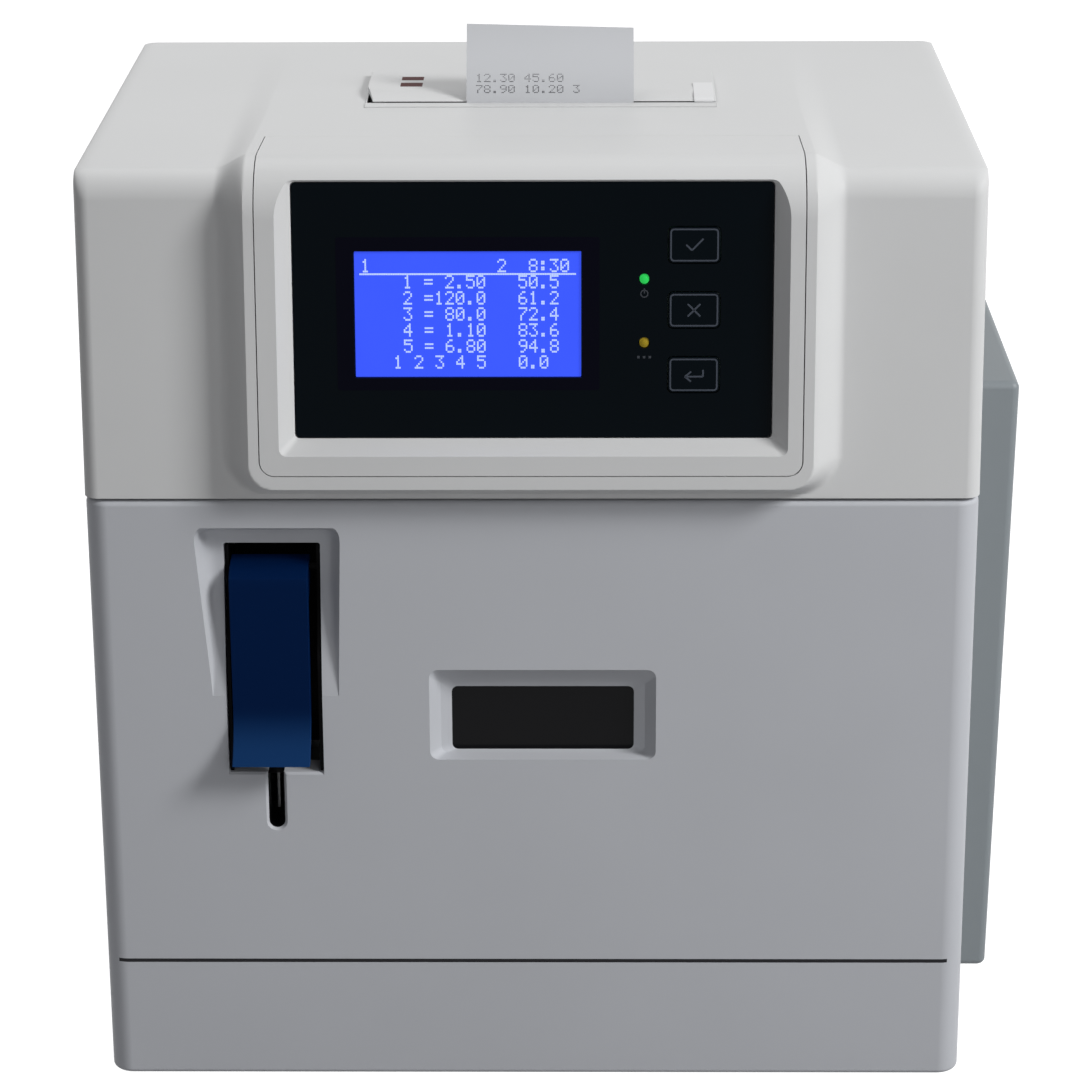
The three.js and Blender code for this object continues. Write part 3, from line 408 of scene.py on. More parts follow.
@dataclass(frozen=True)
class Lit:
    """A surface that gives light of its own, such as a display or a lamp."""

    name: str
    colour: Colour
    strength: float
    roughness: float = 0.2
    sheen: float = 0.03

    def material(self) -> bpy.types.Material:
        """Build the finish.

        Returns:
            The finished material.
        """
        paint = Paint(self.name)
        cloud = paint.noise(60.0, 2.0)
        paint.set(Base_Color=paint.blend(cloud, shade(self.colour, 0.55), shade(self.colour, 0.65)))
        paint.set(Emission_Color=paint.blend(cloud, shade(self.colour, 0.94), self.colour))
        paint.set(Emission_Strength=self.strength, Roughness=self.roughness, Specular_IOR_Level=self.sheen)
        return paint.material


# Forms in casing millimetres


class Operation(Enum):
    """What a form does with other forms."""

    CUT = "DIFFERENCE"
    JOIN = "UNION"
    MEET = "INTERSECT"


def arc_points(centre: Flat, radius: float, start: float, end: float, steps: int) -> list[Flat]:
    """Points along an arc in degrees, both ends included."""
    angles = [math.radians(start + (end - start) * i / steps) for i in range(steps + 1)]
    return [(centre[0] + radius * math.cos(a), centre[1] + radius * math.sin(a)) for a in angles]


def circle(centre: Flat, radius: float, count: int = 24) -> list[Flat]:
    """Evenly spaced points of a circle."""
    return arc_points(centre, radius, 0, 360 - 360 / count, count - 1)


def rounded(x0: float, x1: float, z0: float, z1: float, radius: float, steps: int = 8) -> list[Flat]:
    """A rectangle with round corners, counter-clockwise from its lower left corner.

    Args:
        x0: Left edge.
        x1: Right edge.
        z0: Lower edge.
        z1: Upper edge.
        radius: Radius of the corners.
        steps: Steps in each corner.

    Returns:
        The outline's points.
    """
    corners = [(x0 + radius, z0 + radius, 180), (x1 - radius, z0 + radius, 270),
               (x1 - radius, z1 - radius, 0), (x0 + radius, z1 - radius, 90)]
    return [p for x, z, a in corners for p in arc_points((x, z), radius, a, a + 90, steps)]


def between(first: Sequence[Flat], second: Sequence[Flat], share: float) -> list[Flat]:
    """Points a share of the way from one outline to another."""
    return [(p[0] + share * (q[0] - p[0]), p[1] + share * (q[1] - p[1])) for p, q in zip(first, second)]


def turned(radius: float) -> list[Flat]:
    """A round edge as pairs of height above its foot and inset, from the foot up."""
    angles = [math.radians(15 * i) for i in range(7)]
    return [(radius * (1 - math.cos(a)), radius * (1 - math.sin(a))) for a in angles]


def at_x(outline: Iterable[Flat], x: float) -> list[Point]:
    """Stand an outline of (y, z) points at one station across the width."""
    return [(x, y, z) for y, z in outline]


def at_y(outline: Iterable[Flat], y: float) -> list[Point]:
    """Stand an outline of (x, z) points at one depth."""
    return [(x, y, z) for x, z in outline]


def at_z(outline: Iterable[Flat], z: float) -> list[Point]:
    """Lay an outline of (x, y) points at one height."""
    return [(x, y, z) for x, y in outline]


def linked(name: str, data: bpy.types.ID) -> bpy.types.Object:
    """Make an object of a mesh, lamp or camera in the scene.

    Args:
        name: Its name.
        data: What it shows.

    Returns:
        The new object.
    """
    thing = bpy.data.objects.new(name, data)
    bpy.context.scene.collection.objects.link(thing)
    return thing


def evaluated(thing: bpy.types.Object) -> bpy.types.Mesh:
    """A new plain mesh of an object with its modifiers applied."""
    return bpy.data.meshes.new_from_object(thing.evaluated_get(bpy.context.evaluated_depsgraph_get()))


class Form:
    """A closed mesh in millimetres that can be cut, joined, rounded and at last placed in the frame."""

    MERGE = 1e-5

    def __init__(self, mesh: bpy.types.Mesh) -> None:
        """Hold a mesh on a scratch object."""
        self.thing = linked("form", mesh)

    @classmethod
    def faces(cls, points: Iterable[Sequence[float]], faces: Iterable[Sequence[int]]) -> "Form":
        """Build a form from points and faces, and turn the faces outwards.

        Args:
            points: Corners in millimetres.
            faces: Numbers of each face's corners.

        Returns:
            The new form.
        """
        mesh = bpy.data.meshes.new("form")
        mesh.from_pydata([tuple(p) for p in points], [], [tuple(f) for f in faces])
        shape = bmesh.new()
        shape.from_mesh(mesh)
        bmesh.ops.remove_doubles(shape, verts=shape.verts, dist=cls.MERGE)
        bmesh.ops.recalc_face_normals(shape, faces=shape.faces)
        shape.to_mesh(mesh)
        shape.free()
        return cls(mesh)

    @classmethod
    def loft(cls, rings: Sequence[Sequence[Point]]) -> "Form":
        """Skin through rings of equally many points, closed by flat ends.

        Args:
            rings: The rings in order.

        Returns:
            The new form.
        """
        count = len(rings[0])
        points = [p for ring in rings for p in ring]
        faces: list[Sequence[int]] = []
        for row in range(len(rings) - 1):
            for i in range(count):
                a, b = row * count + i, row * count + (i + 1) % count
                faces.append((a, b, b + count, a + count))
        last = (len(rings) - 1) * count
        faces.append(list(range(count))[::-1])
        faces.append([last + i for i in range(count)])
        return cls.faces(points, faces)

    @classmethod
    def block(cls, x0: float, x1: float, y0: float, y1: float, z0: float, z1: float) -> "Form":
        """A box between stated limits."""
        return cls.along_z([(x0, y0), (x1, y0), (x1, y1), (x0, y1)], z0, z1)

    @classmethod
    def along_x(cls, outline: Sequence[Flat], x0: float, x1: float) -> "Form":
        """Extrude an outline of (y, z) points across the width."""
        return cls.loft([at_x(outline, x) for x in (x0, x1)])

    @classmethod
    def along_y(cls, outline: Sequence[Flat], y0: float, y1: float) -> "Form":
        """Extrude an outline of (x, z) points front to back."""
        return cls.loft([at_y(outline, y) for y in (y0, y1)])

    @classmethod
    def along_z(cls, outline: Sequence[Flat], z0: float, z1: float) -> "Form":
        """Extrude an outline of (x, y) points upwards."""
        return cls.loft([at_z(outline, z) for z in (z0, z1)])

    def bake(self) -> "Form":
        """Turn the modifiers into mesh.

        Returns:
            The form itself.
        """
        mesh = evaluated(self.thing)
        self.thing.modifiers.clear()
        self.thing.data = mesh
        return self

    def _boolean(self, operation: Operation, tools: Sequence["Form"]) -> "Form":
        """Cut, join or intersect with other forms, which are used up.

        Args:
            operation: What to do.
            tools: The other forms.

        Returns:
            The form itself.
        """
        for tool in tools:
            modifier = self.thing.modifiers.new("boolean", "BOOLEAN")
            modifier.operation = operation.value
            modifier.solver = "MANIFOLD"
            modifier.object = tool.thing
        self.bake()
        for tool in tools:
            tool.drop()
        return self

    def cut(self, *others: "Form") -> "Form":
        """Take other forms away."""
        return self._boolean(Operation.CUT, others)

    def join(self, *others: "Form") -> "Form":
        """Fuse other forms on."""
        return self._boolean(Operation.JOIN, others)

    def meet(self, *others: "Form") -> "Form":
        """Keep only what lies inside the others too."""
        return self._boolean(Operation.MEET, others)

    def add(self, *others: "Form") -> "Form":
        """Gather other forms in the same mesh without fusing them.

        Args:
            others: The forms, which are used up.

        Returns:
            The form itself.
        """
        shape = bmesh.new()
        shape.from_mesh(self.thing.data)
        for other in others:
            shape.from_mesh(other.thing.data)
            other.drop()
        shape.to_mesh(self.thing.data)
        shape.free()
        return self

    def round(self, width: float, segments: int = 3, angle: float = 32.0) -> "Form":
        """Round the edges that turn by more than an angle.

        Args:
            width: Width of the rounding in millimetres.
            segments: Faces across it.
            angle: The angle in degrees.

        Returns:
            The form itself.
        """
        modifier = self.thing.modifiers.new("bevel", "BEVEL")
        modifier.width, modifier.segments = width, segments
        modifier.limit_method, modifier.angle_limit = "ANGLE", math.radians(angle)
        modifier.use_clamp_overlap = True
        return self.bake()

    def move(self, matrix: Matrix) -> "Form":
        """Transform the mesh itself."""
        self.thing.data.transform(matrix)
        return self

    def drop(self) -> None:
        """Remove the scratch object."""
        bpy.data.objects.remove(self.thing, do_unlink=True)


@dataclass
class Model:
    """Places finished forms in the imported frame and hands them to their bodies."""

    place: Place
    weight: int = 90
    forward: float = 0.99999

    def weighted(self, mesh: bpy.types.Mesh) -> bpy.types.Mesh:
        """Let large flat faces keep their own normals beside rounded edges.

        Args:
            mesh: The piece's mesh.

        Returns:
            A new mesh, with exact normals on the faces that look straight forward.
        """
        thing = linked("weighted", mesh)
        modifier = thing.modifiers.new("weight", "WEIGHTED_NORMAL")
        modifier.keep_sharp, modifier.weight = True, self.weight
        result = evaluated(thing)
        bpy.data.objects.remove(thing, do_unlink=True)
        normals = [corner.vector.copy() for corner in result.corner_normals]
        for face in result.polygons:
            if -face.normal.y > self.forward:
                for loop in face.loop_indices:
                    normals[loop] = face.normal.copy()
        result.normals_split_custom_set(normals)
        return result

    def add(self, name: str, form: Form, body: str, slot: str, material: bpy.types.Material,
            replaces: Sequence[str] = (), smooth: float = 32.0) -> bpy.types.Object:
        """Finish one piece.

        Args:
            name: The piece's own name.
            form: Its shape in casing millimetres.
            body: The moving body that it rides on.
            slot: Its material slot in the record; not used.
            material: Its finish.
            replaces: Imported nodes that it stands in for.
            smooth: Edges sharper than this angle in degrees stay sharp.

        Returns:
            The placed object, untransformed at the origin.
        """
        mesh = form.thing.data.copy()
        origin = self.place.at((0, 0, 0))
        mesh.transform(Matrix.Translation(origin) @ Matrix.Scale(MM, 4))
        mesh.shade_smooth()
        mesh.set_sharp_from_angle(angle=math.radians(smooth))
        mesh.materials.clear()
        mesh.materials.append(material)
        form.drop()
        piece = linked(name, self.weighted(mesh))
        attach(piece, body)
        if replaces:
            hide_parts(*replaces)
        LOG.info("%s: %d faces", name, len(mesh.polygons))
        return piece


# The console and upper housing


@dataclass(frozen=True)
class Console:
    """The raised frame on the upper front and the bezel in it, in millimetres."""

    half: float = 90.2
    bottom: float = 214.3
    foot: float = 4.8
    side: float = 10.0
    corner: float = 7.5
    out: float = 10.0
    bend: float = 18.5
    roof: float = 318.5
    crest: float = 15.9
    back: float = 96.0
    tongue: float = 47.0
    bezel_half: float = 86.6
    bezel_bottom: float = 218.9
    bezel_corner: float = 5.0
    wall: float = 3.0

    def crown(self, out: float, radius: float, top: float, inset: float, steps: int = 14) -> list[Flat]:
        """The rounded change from the leaning front to the roof.

        Args:
            out: How far the front stands out.
            radius: Radius of the rounding.
            top: Height of the roof.
            inset: Distance inside the surface.
            steps: Number of steps round it.

        Returns:
            Points of (y, z), from the front up and back.
        """
        lean, z = BODY.lean, top - radius
        y = BODY.face(z) - out + radius / math.cos(lean)
        turns = [math.pi - lean - (i / steps) * (math.pi / 2 - lean) for i in range(steps + 1)]
        return [(y + (radius - inset) * math.cos(a), z + (radius - inset) * math.sin(a)) for a in turns]

    def raised(self, inset: float = 0, steps: int = 20) -> list[Flat]:
        """The crown of the raised frame itself."""
        return self.crown(self.out, self.bend, self.roof, inset, steps)

    def ridge(self, y: float) -> float:
        """Height of the raised roof at a depth behind the crown."""
        return self.roof + (y - self.crest) / (self.back - self.crest) * (BODY.top - self.roof)

    def share(self, x: float, z: float) -> float:
        """How much of the console's height the surface has at a point of the front.

        Args:
            x: Distance from the centre line.
            z: Height.

        Returns:
            One on the console, zero beside it, and a soft slope between.
        """
        r = self.corner
        dx = max(abs(x) - (self.half - r), 0.0)
        dz = max((self.bottom + r) - z, 0.0)
        away = math.hypot(dx, dz) - r
        if away <= 0:
            return 1.0
        along = math.atan2(dz, dx + 1e-9) / (math.pi / 2)
        wide = self.side + (self.foot - self.side) * along
        t = min(1.0, away / wide)
        return 0.5 * (0.5 + 0.5 * math.cos(math.pi * t)) + 0.5 * (1 - math.sin(math.pi * t / 2))


CONSOLE = Console()


@dataclass
class UpperHousing:
    """The top casing: a leaning front that rises into the console's frame, with the printer's opening."""

    console: Console = CONSOLE
    low: float = 208.15
    hem: Point = (209.0, 209.8, 210.7)
    slope: float = 211.6
    slope_step: float = 0.55
    slope_steps: int = 24
    upright: Point = (240.0, 262.0, 282.0)
    edge: float = 5.0
    rear: float = 2.5
    sink: float = 0.18
    lift: float = 0.82
    gap: float = 0.35
    skin: float = 0.8
    wall: float = 3.0
    foot: float = 205.0
    hole: Box = (-57.6, 62.1, 101.2, 150.1)

    def lifted(self, y: float, z: float, amount: float) -> float:
        """Height of a point of the roof once its side edge is kept from sinking."""
        near = amount if z > BODY.top - 12 else 0
        return z + near * min(1.0, max(0.0, (y + 2) / 9))

    def ring(self, x: float, inset: float) -> list[Point]:
        """The side profile at one station.

        Args:
            x: The station across the width.
            inset: Distance inside the surface, at the round side edges.

        Returns:
            The profile's points.
        """
        c = self.console
        slope = [self.slope + self.slope_step * i for i in range(self.slope_steps)]
        heights = [self.low, *self.hem, *slope, *self.upright]
        points = [(BODY.face(z) - c.out * c.share(x, z) + inset, z) for z in heights]
        share = c.share(x, c.roof)
        points += between(c.crown(0, BODY.corner + 2, BODY.top, inset), c.raised(inset, 14), share)
        points = [(y, self.lifted(y, z, inset * self.lift * (1 - share))) for y, z in points]
        sunk = inset * self.sink
        points += [(c.back, BODY.top - sunk)]
        rear = arc_points((BODY.depth - self.rear, BODY.top - self.rear), self.rear, 90, 0, 5)
        points += [(y - sunk, z - sunk) for y, z in rear]
        return at_x([*points, (BODY.depth - sunk, self.low)], x)

    def stations(self) -> list[Flat]:
        """Stations across the width, each with its inset at the round side edges.

        Returns:
            Pairs of station and inset, from left to right.
        """
        c, r = self.console, self.edge
        angles = [math.radians(a) for a in range(90, -1, -9)]
        edge = [(BODY.half - r * (1 - math.sin(a)), r * (1 - math.cos(a))) for a in angles]
        fillet = [(c.half + c.side * (1 - i / 20), 0.0) for i in range(-1, 21)]
        inner = [(c.half - 0.5 * i, 0.0) for i in range(1, 22)] + [(c.half - 20.0, 0.0), (c.half - 60.0, 0.0)]
        right = [*edge, *fillet, *inner]
        return [(-x, inset) for x, inset in right] + [(x, inset) for x, inset in reversed(right)]

    def room(self) -> Form:
        """The space that the bezel fills, with its tail's bed under the roof.

        Returns:
            The form to cut away.
        """
        c = self.console
        half, low, inside = c.bezel_half + self.gap, c.bezel_bottom - self.gap, BODY.face(230) + 5
        back, front = c.back + 0.3, -40.0
        outline = [(front, low), (inside, low), (inside, BODY.top - c.out), (back, BODY.top - c.out),
                   (back, BODY.top - self.skin), (c.tongue, c.ridge(c.tongue) - self.skin),
                   (c.tongue, c.roof + 10), (front, c.roof + 10)]
        view = Form.along_y(rounded(-half, half, low, 400, c.bezel_corner), -60, 150)
        return Form.along_x(outline, -half, half).meet(view)

    def build(self, model: Model, finish: bpy.types.Material) -> None:
        """Loft the skin, hollow it and cut the console's and printer's openings.

        Args:
            model: Takes the finished piece.
            finish: The casing's plastic.
        """
        c = self.console
        skin = Form.loft([self.ring(x, inset) for x, inset in self.stations()])
        inner = BODY.half - BODY.wall
        hollow = Form.loft([self.hollow_ring(x) for x in (-inner, -c.half, 6 - c.half, c.half - 6, c.half, inner)])
        room = self.room()
        skin.cut(hollow).round(0.5, 3, 38).cut(Form.block(*self.hole, 290, 330), room)
        model.add("upper_casing", skin, "root", "casing", finish, ["upper_housing"])

    def hollow_ring(self, x: float) -> list[Point]:
        """The inner profile at one station.

        Args:
            x: The station across the width.

        Returns:
            The profile's points.
        """
        c, wall = self.console, self.wall
        raised = abs(x) < c.half - 1
        out, bend, top = (c.out, c.bend, c.roof) if raised else (0.0, BODY.corner + 2, BODY.top)
        points = [(BODY.face(self.foot) + wall, self.foot), (BODY.face(212) + wall, 212.3),
                  (BODY.face(214.3) - out + wall, 214.3), *c.crown(out, bend, top, wall, 6),
                  (c.back, BODY.top - wall), (BODY.depth - wall, BODY.top - wall),
                  (BODY.depth - wall, self.foot)]
        return at_x(points, x)


@dataclass(frozen=True)
class Panel:
    """The leaning frame of the control panel: its own X to the right, Y inwards, Z up the slope."""

    left: float = -75.2
    right: float = 76.8
    bottom: float = 230.0
    top: float = 312.0
    deep: float = 5.0
    bevel: float = 5.0
    corner: float = 1.5

    @property
    def height(self) -> float:
        """Length up the slope."""
        return (self.top - self.bottom) / math.cos(BODY.lean)

    @property
    def matrix(self) -> Matrix:
        """From the panel's frame to the casing's."""
        y = BODY.face(self.bottom) - CONSOLE.out + self.deep
        return Matrix.Translation((0, y, self.bottom)) @ Matrix.Rotation(-BODY.lean, 4, "X")

    def rise(self, z: float) -> float:
        """Distance up the slope of a height."""
        return (z - self.bottom) / math.cos(BODY.lean)

    def grown(self, grow: float, corner: float) -> list[Flat]:
        """The panel's outline, larger by grow."""
        return rounded(self.left - grow, self.right + grow, -grow, self.height + grow, corner)


PANEL = Panel()


@dataclass
class Bezel:
    """The inner frame of the console with its bevelled window for the panel."""

    console: Console = CONSOLE
    panel: Panel = PANEL
    reach: float = 12.0

    def build(self, model: Model, finish: bpy.types.Material) -> None:
        """Bend the band, add the ledge and cut the window.

        Args:
            model: Takes the finished piece.
            finish: The casing's plastic.
        """
        c, p = self.console, self.panel
        half, low = c.bezel_half, c.bezel_bottom
        foot = (BODY.face(low) - c.out, low)
        outer = [foot, *c.raised(), (c.tongue + 0.1, c.ridge(c.tongue) - 0.03),
                 (c.tongue + 4.0, c.ridge(c.tongue) - 1.2), (c.back - 0.3, BODY.top - 1.0)]
        inner = [(foot[0] + c.wall, low), *c.raised(c.wall), (c.back - 0.3, BODY.top - 2.7)]
        band = Form.along_x([*outer, *reversed(inner)], -half, half)
        core = Form.along_x([foot, *c.raised(), (c.raised()[-1][0], low)], -half, half)
        ledge = self.slab(p.bevel, -p.deep, 5.0).meet(core)
        view = Form.along_y(rounded(-half, half, low, 400, c.bezel_corner - 0.3, 10), -60, 150)
        body = band.join(ledge).meet(view)
        body.cut(self.recess(), self.slab(0.3, -0.3, 2.3), self.slab(-4.0, 0, 30)).round(0.8, 4, 34)
        model.add("console_frame", body, "root", "casing", finish, ["console_bezel"])

    def slab(self, grow: float, y0: float, y1: float) -> Form:
        """A slab that covers the panel's window, larger by grow."""
        corner = max(0.6, self.panel.corner + min(grow, 0))
        return Form.along_y(self.panel.grown(grow, corner), y0, y1).move(self.panel.matrix)

    def recess(self) -> Form:
        """The bevel round the window.

        Returns:
            The form to cut away.
        """
        p = self.panel
        wide = p.bevel * (self.reach / p.deep)
        low, high = p.grown(0.3, p.corner), p.grown(wide, 4.0)
        return Form.loft([at_y(low, 0.0), at_y(high, -self.reach)]).move(p.matrix)


# Panel, display and keys


class Key(Enum):
    """The panel's keys, by the names of their nodes, from the lowest up."""

    RETURN = "key_return"
    CANCEL = "key_cancel"
    CONFIRM = "key_confirm"


LCD: Box = (-56.0, 16.4, 249.4, 290.2)

SIGNS: dict[Key, tuple[tuple[Flat, ...], ...]] = {
    Key.CONFIRM: (((-2.6, 0.1), (-0.8, -1.7), (2.8, 2.0)),),
    Key.CANCEL: (((-2.0, -2.0), (2.0, 2.0)), ((-2.0, 2.0), (2.0, -2.0))),
    Key.RETURN: (((3.0, 1.6), (3.0, -0.6), (-2.6, -0.6)), ((-0.8, 1.0), (-2.8, -0.6), (-0.8, -2.2))),
}


@dataclass
class ControlPanel:
    """The glossy panel with its display, keys, lamps and plain printed marks."""

    panel: Panel = PANEL
    thick: float = 2.0
    key_left: float = 43.7
    key_size: Flat = (16.3, 11.5)
    key_corner: float = 1.6
    key_first: float = 244.7
    key_pitch: float = 20.85
    key_proud: float = 0.3
    lamp_x: float = 36.1
    lamp_hole: float = 1.8
    lamps: Flat = (51.3, 30.8)
    lens: tuple[Flat, ...] = ((1.5, 2.3), (1.5, 0.4), (1.1, 0.3), (1.0, -0.1), (0.7, -0.3), (0.25, -0.38))
    outline: float = 0.5
    stroke: float = 0.55
    ink: float = 0.05

    def key_rises(self) -> list[float]:
        """The keys' lower edges up the slope."""
        return [self.panel.rise(self.key_first + i * self.key_pitch) for i in range(len(Key))]

    def build(self, model: Model, finishes: Finishes) -> None:
        """Make the panel, keys, lamps, display and marks.

        Args:
            model: Takes the finished pieces.
            finishes: All finishes by name.
        """
        p = self.panel
        x0, x1, z0, z1 = LCD[0], LCD[1], p.rise(LCD[2]), p.rise(LCD[3])
        through = (-5, 5)
        well = Form.along_y(rounded(x0, x1, z0, z1, 0.4, 3), *through)
        holes = [self.key_form(low, 0.3, *through) for low in self.key_rises()]
        bores = [Form.along_y(circle((self.lamp_x, z), self.lamp_hole), *through) for z in self.lamps]
        front = Form.along_y(rounded(p.left, p.right, 0, p.height, p.corner, 6), 0, self.thick)
        front.cut(well, *holes, *bores).round(0.25, 2, 40)
        outer, inner = (x0 - 5.5, x1 + 5.5, z0 - 4.0, z1 + 4.5), (x0 + 0.02, x1 - 0.02, z0 + 0.02, z1 - 0.02)
        surround = self.frame(outer, inner, -self.ink, 0.15, 0.8)
        glass = Form.along_y(rounded(x0 + 0.3, x1 - 0.3, z0 + 0.3, z1 - 0.3, 0.3, 3), 0.6, 3.6)
        for name, form, slot, finish, nodes in (
            ("panel_film", front, "panel_gloss", "panel", ["control_panel"]),
            ("display_surround", surround, "panel_gloss", "surround", []),
            ("display_glass", glass, "display", "display", ["lcd_screen"]),
        ):
            model.add(name, form.move(p.matrix), "root", slot, finishes[finish], nodes)
        for key, low in zip(Key, self.key_rises()):
            name = key.value
            cap = self.key_form(low, 0, -self.key_proud, 1.1).round(0.25, 3, 40).move(p.matrix)
            model.add(f"{name}_cap", cap, f"{name}_body", "key", finishes["key"], [name])
            mark = self.mark(key, low).move(p.matrix)
            model.add(f"{name}_mark", mark, f"{name}_body", "key", finishes["legend"])
        for name, z, finish in zip(("power_lamp", "status_lamp"), self.lamps, ("green", "yellow")):
            lens = self.lens_form(z).move(p.matrix)
            model.add(f"{name}_lens", lens, "root", f"lamp_{finish}", finishes[finish], [name])
        model.add("lamp_marks", self.lamp_marks().move(p.matrix), "root", "panel_gloss", finishes["faint"])

    def lens_form(self, rise: float) -> Form:
        """A lamp's domed lens.

        Args:
            rise: Its centre up the slope.

        Returns:
            The lens.
        """
        turns = [k * math.tau / 24 for k in range(24)]
        return Form.loft([[(self.lamp_x + r * math.cos(a), y, rise + r * math.sin(a)) for a in turns]
                          for r, y in self.lens])

    def key_form(self, low: float, grow: float, y0: float, y1: float) -> Form:
        """A key's rounded block.

        Args:
            low: Height of the key's lower edge.
            grow: How much larger it is on every side.
            y0: Depth of its front.
            y1: Depth of its back.

        Returns:
            The block.
        """
        (w, h), x = self.key_size, self.key_left
        shape = rounded(x - grow, x + w + grow, low - grow, low + h + grow, self.key_corner + grow, 6)
        return Form.along_y(shape, y0, y1)

    @staticmethod
    def frame(outer: Box, inner: Box, y0: float, y1: float, radius: float) -> Form:
        """A flat frame between two rectangles."""
        hole = Form.along_y(rounded(*inner, radius * 0.6, 4), y0 - 1, y1 + 1)
        return Form.along_y(rounded(*outer, radius, 4), y0, y1).cut(hole)

    @staticmethod
    def bar(points: Sequence[Flat], width: float, y0: float, y1: float) -> Form:
        """A thin printed line.

        Args:
            points: The line's corners.
            width: Its width.
            y0: Depth of its front.
            y1: Depth of its back.

        Returns:
            The line, one flat bar for each stretch.
        """
        parts = []
        for (ax, az), (bx, bz) in zip(points, points[1:]):
            length = math.hypot(bx - ax, bz - az)
            nx, nz = -(bz - az) / length * width / 2, (bx - ax) / length * width / 2
            sides = [(ax - nx, az - nz), (bx - nx, bz - nz), (bx + nx, bz + nz), (ax + nx, az + nz)]
            parts.append(Form.along_y(sides, y0, y1))
        return parts[0].add(*parts[1:])

    def mark(self, key: Key, low: float) -> Form:
        """A key's outline and its plain sign: a tick, a cross or an arrow.

        Args:
            key: The key.
            low: Its lower edge up the slope.

        Returns:
            The outline and the sign.
        """
        (w, h), x, line = self.key_size, self.key_left, self.outline
        y0, y1 = -self.key_proud - 0.03, -self.key_proud + 0.05
        outer, inner = ((x + d, x + w - d, low + d, low + h - d) for d in (line, 2 * line))
        cx, cz = x + w / 2, low + h / 2
        lines = [[(cx + dx, cz + dz) for dx, dz in part] for part in SIGNS[key]]
        return self.frame(outer, inner, y0, y1, 1.2).add(*[self.bar(part, self.stroke, y0, y1) for part in lines])

    def lamp_marks(self) -> Form:
        """Small plain signs under the lamps: a bar in a ring, and three dots.

        Returns:
            All of the signs.
        """
        high, low = self.lamps
        x, centre = self.lamp_x, (self.lamp_x, high - 4.6)
        hole = Form.along_y(circle(centre, 0.95, 18), -1, 1)
        ring = Form.along_y(circle(centre, 1.3, 18), -self.ink, self.ink).cut(hole)
        stem = Form.block(x - 0.17, x + 0.17, -self.ink, self.ink, high - 4.5, high - 2.9)
        dots = [Form.block(x + d - 0.4, x + d + 0.4, -self.ink, self.ink, low - 5.0, low - 4.2)
                for d in (-1.8, 0, 1.8)]
        return ring.add(stem, *dots)


DOTS = {
    "0": "0E11131519110E", "1": "040C040404040E", "2": "0E11010204081F", "3": "1F02040201110E",
    "4": "02060A121F0202", "5": "1F101E0101110E", "6": "0608101E11110E", "7": "1F010204080808",
    "8": "0E11110E11110E", "9": "0E11110F01020C", ".": "00000000000C0C", ":": "000C0C000C0C00",
    "=": "00001F001F0000", " ": "00000000000000",
}
DOT_COLUMNS = 5
DOT_PITCH = 6


def lit_dots(text: str) -> list[tuple[int, int]]:
    """The dots that make a row of plain figures.

    Args:
        text: The figures.

    Returns:
        Pairs of dots across and dots down, from the row's upper left corner.
    """
    return [(column * DOT_PITCH + across, down)
            for column, sign in enumerate(text)
            for down, bits in enumerate(bytes.fromhex(DOTS[sign]))
            for across in range(DOT_COLUMNS) if bits >> (DOT_COLUMNS - 1 - across) & 1]


@dataclass
class Readout:
    """The rows of figures on the display, built of dots on the display's own grid."""

    grid: tuple[int, int] = (128, 64)
    margin: Flat = (0.8, 0.7)
    corner: int = 3
    row_pitch: float = 8.4
    rule: float = 10.4
    fill: float = 0.92
    rows: tuple[str, ...] = (
        "1            2  8:30", "    1 = 2.50   50.5", "    2 =120.0   61.2", "    3 = 80.0   72.4",
        "    4 = 1.10   83.6", "    5 = 6.80   94.8", "   1 2 3 4 5   0.0",
    )

    def dots(self) -> list[Flat]:
        """The lit dots of all rows and of the rule under the first.

        Returns:
            Pairs of dots across and down on the display's grid.
        """
        lit = [(self.corner + across, self.corner + row * self.row_pitch + down)
               for row, text in enumerate(self.rows) for across, down in lit_dots(text)]
        return lit + [(2 + across, self.rule) for across in range(self.grid[0] - 4)]

    def build(self, model: Model, finish: bpy.types.Material) -> None:
        """Repeat one dot over the grid with Geometry Nodes.

        Args:
            model: Takes the finished piece.
            finish: The lit dots' finish.
        """
        x0, x1, z0, z1 = LCD
        (side, end), (across, down) = self.margin, self.grid
        base, height = PANEL.rise(z0), PANEL.rise(z1) - PANEL.rise(z0)
        step_x, step_z = (x1 - x0 - 2 * side) / across, (height - 2 * end) / down
        spots = [(x0 + side + (u + 0.5) * step_x, 0.55, base + height - end - (v + 0.5) * step_z)
                 for u, v in self.dots()]
        dot = Blocks("display_dots", finish, Size=(step_x * self.fill, 0.06, step_z * self.fill))
        model.add("display_figures", dot.over(spots).move(PANEL.matrix), "root", "display", finish)


# Geometry Nodes


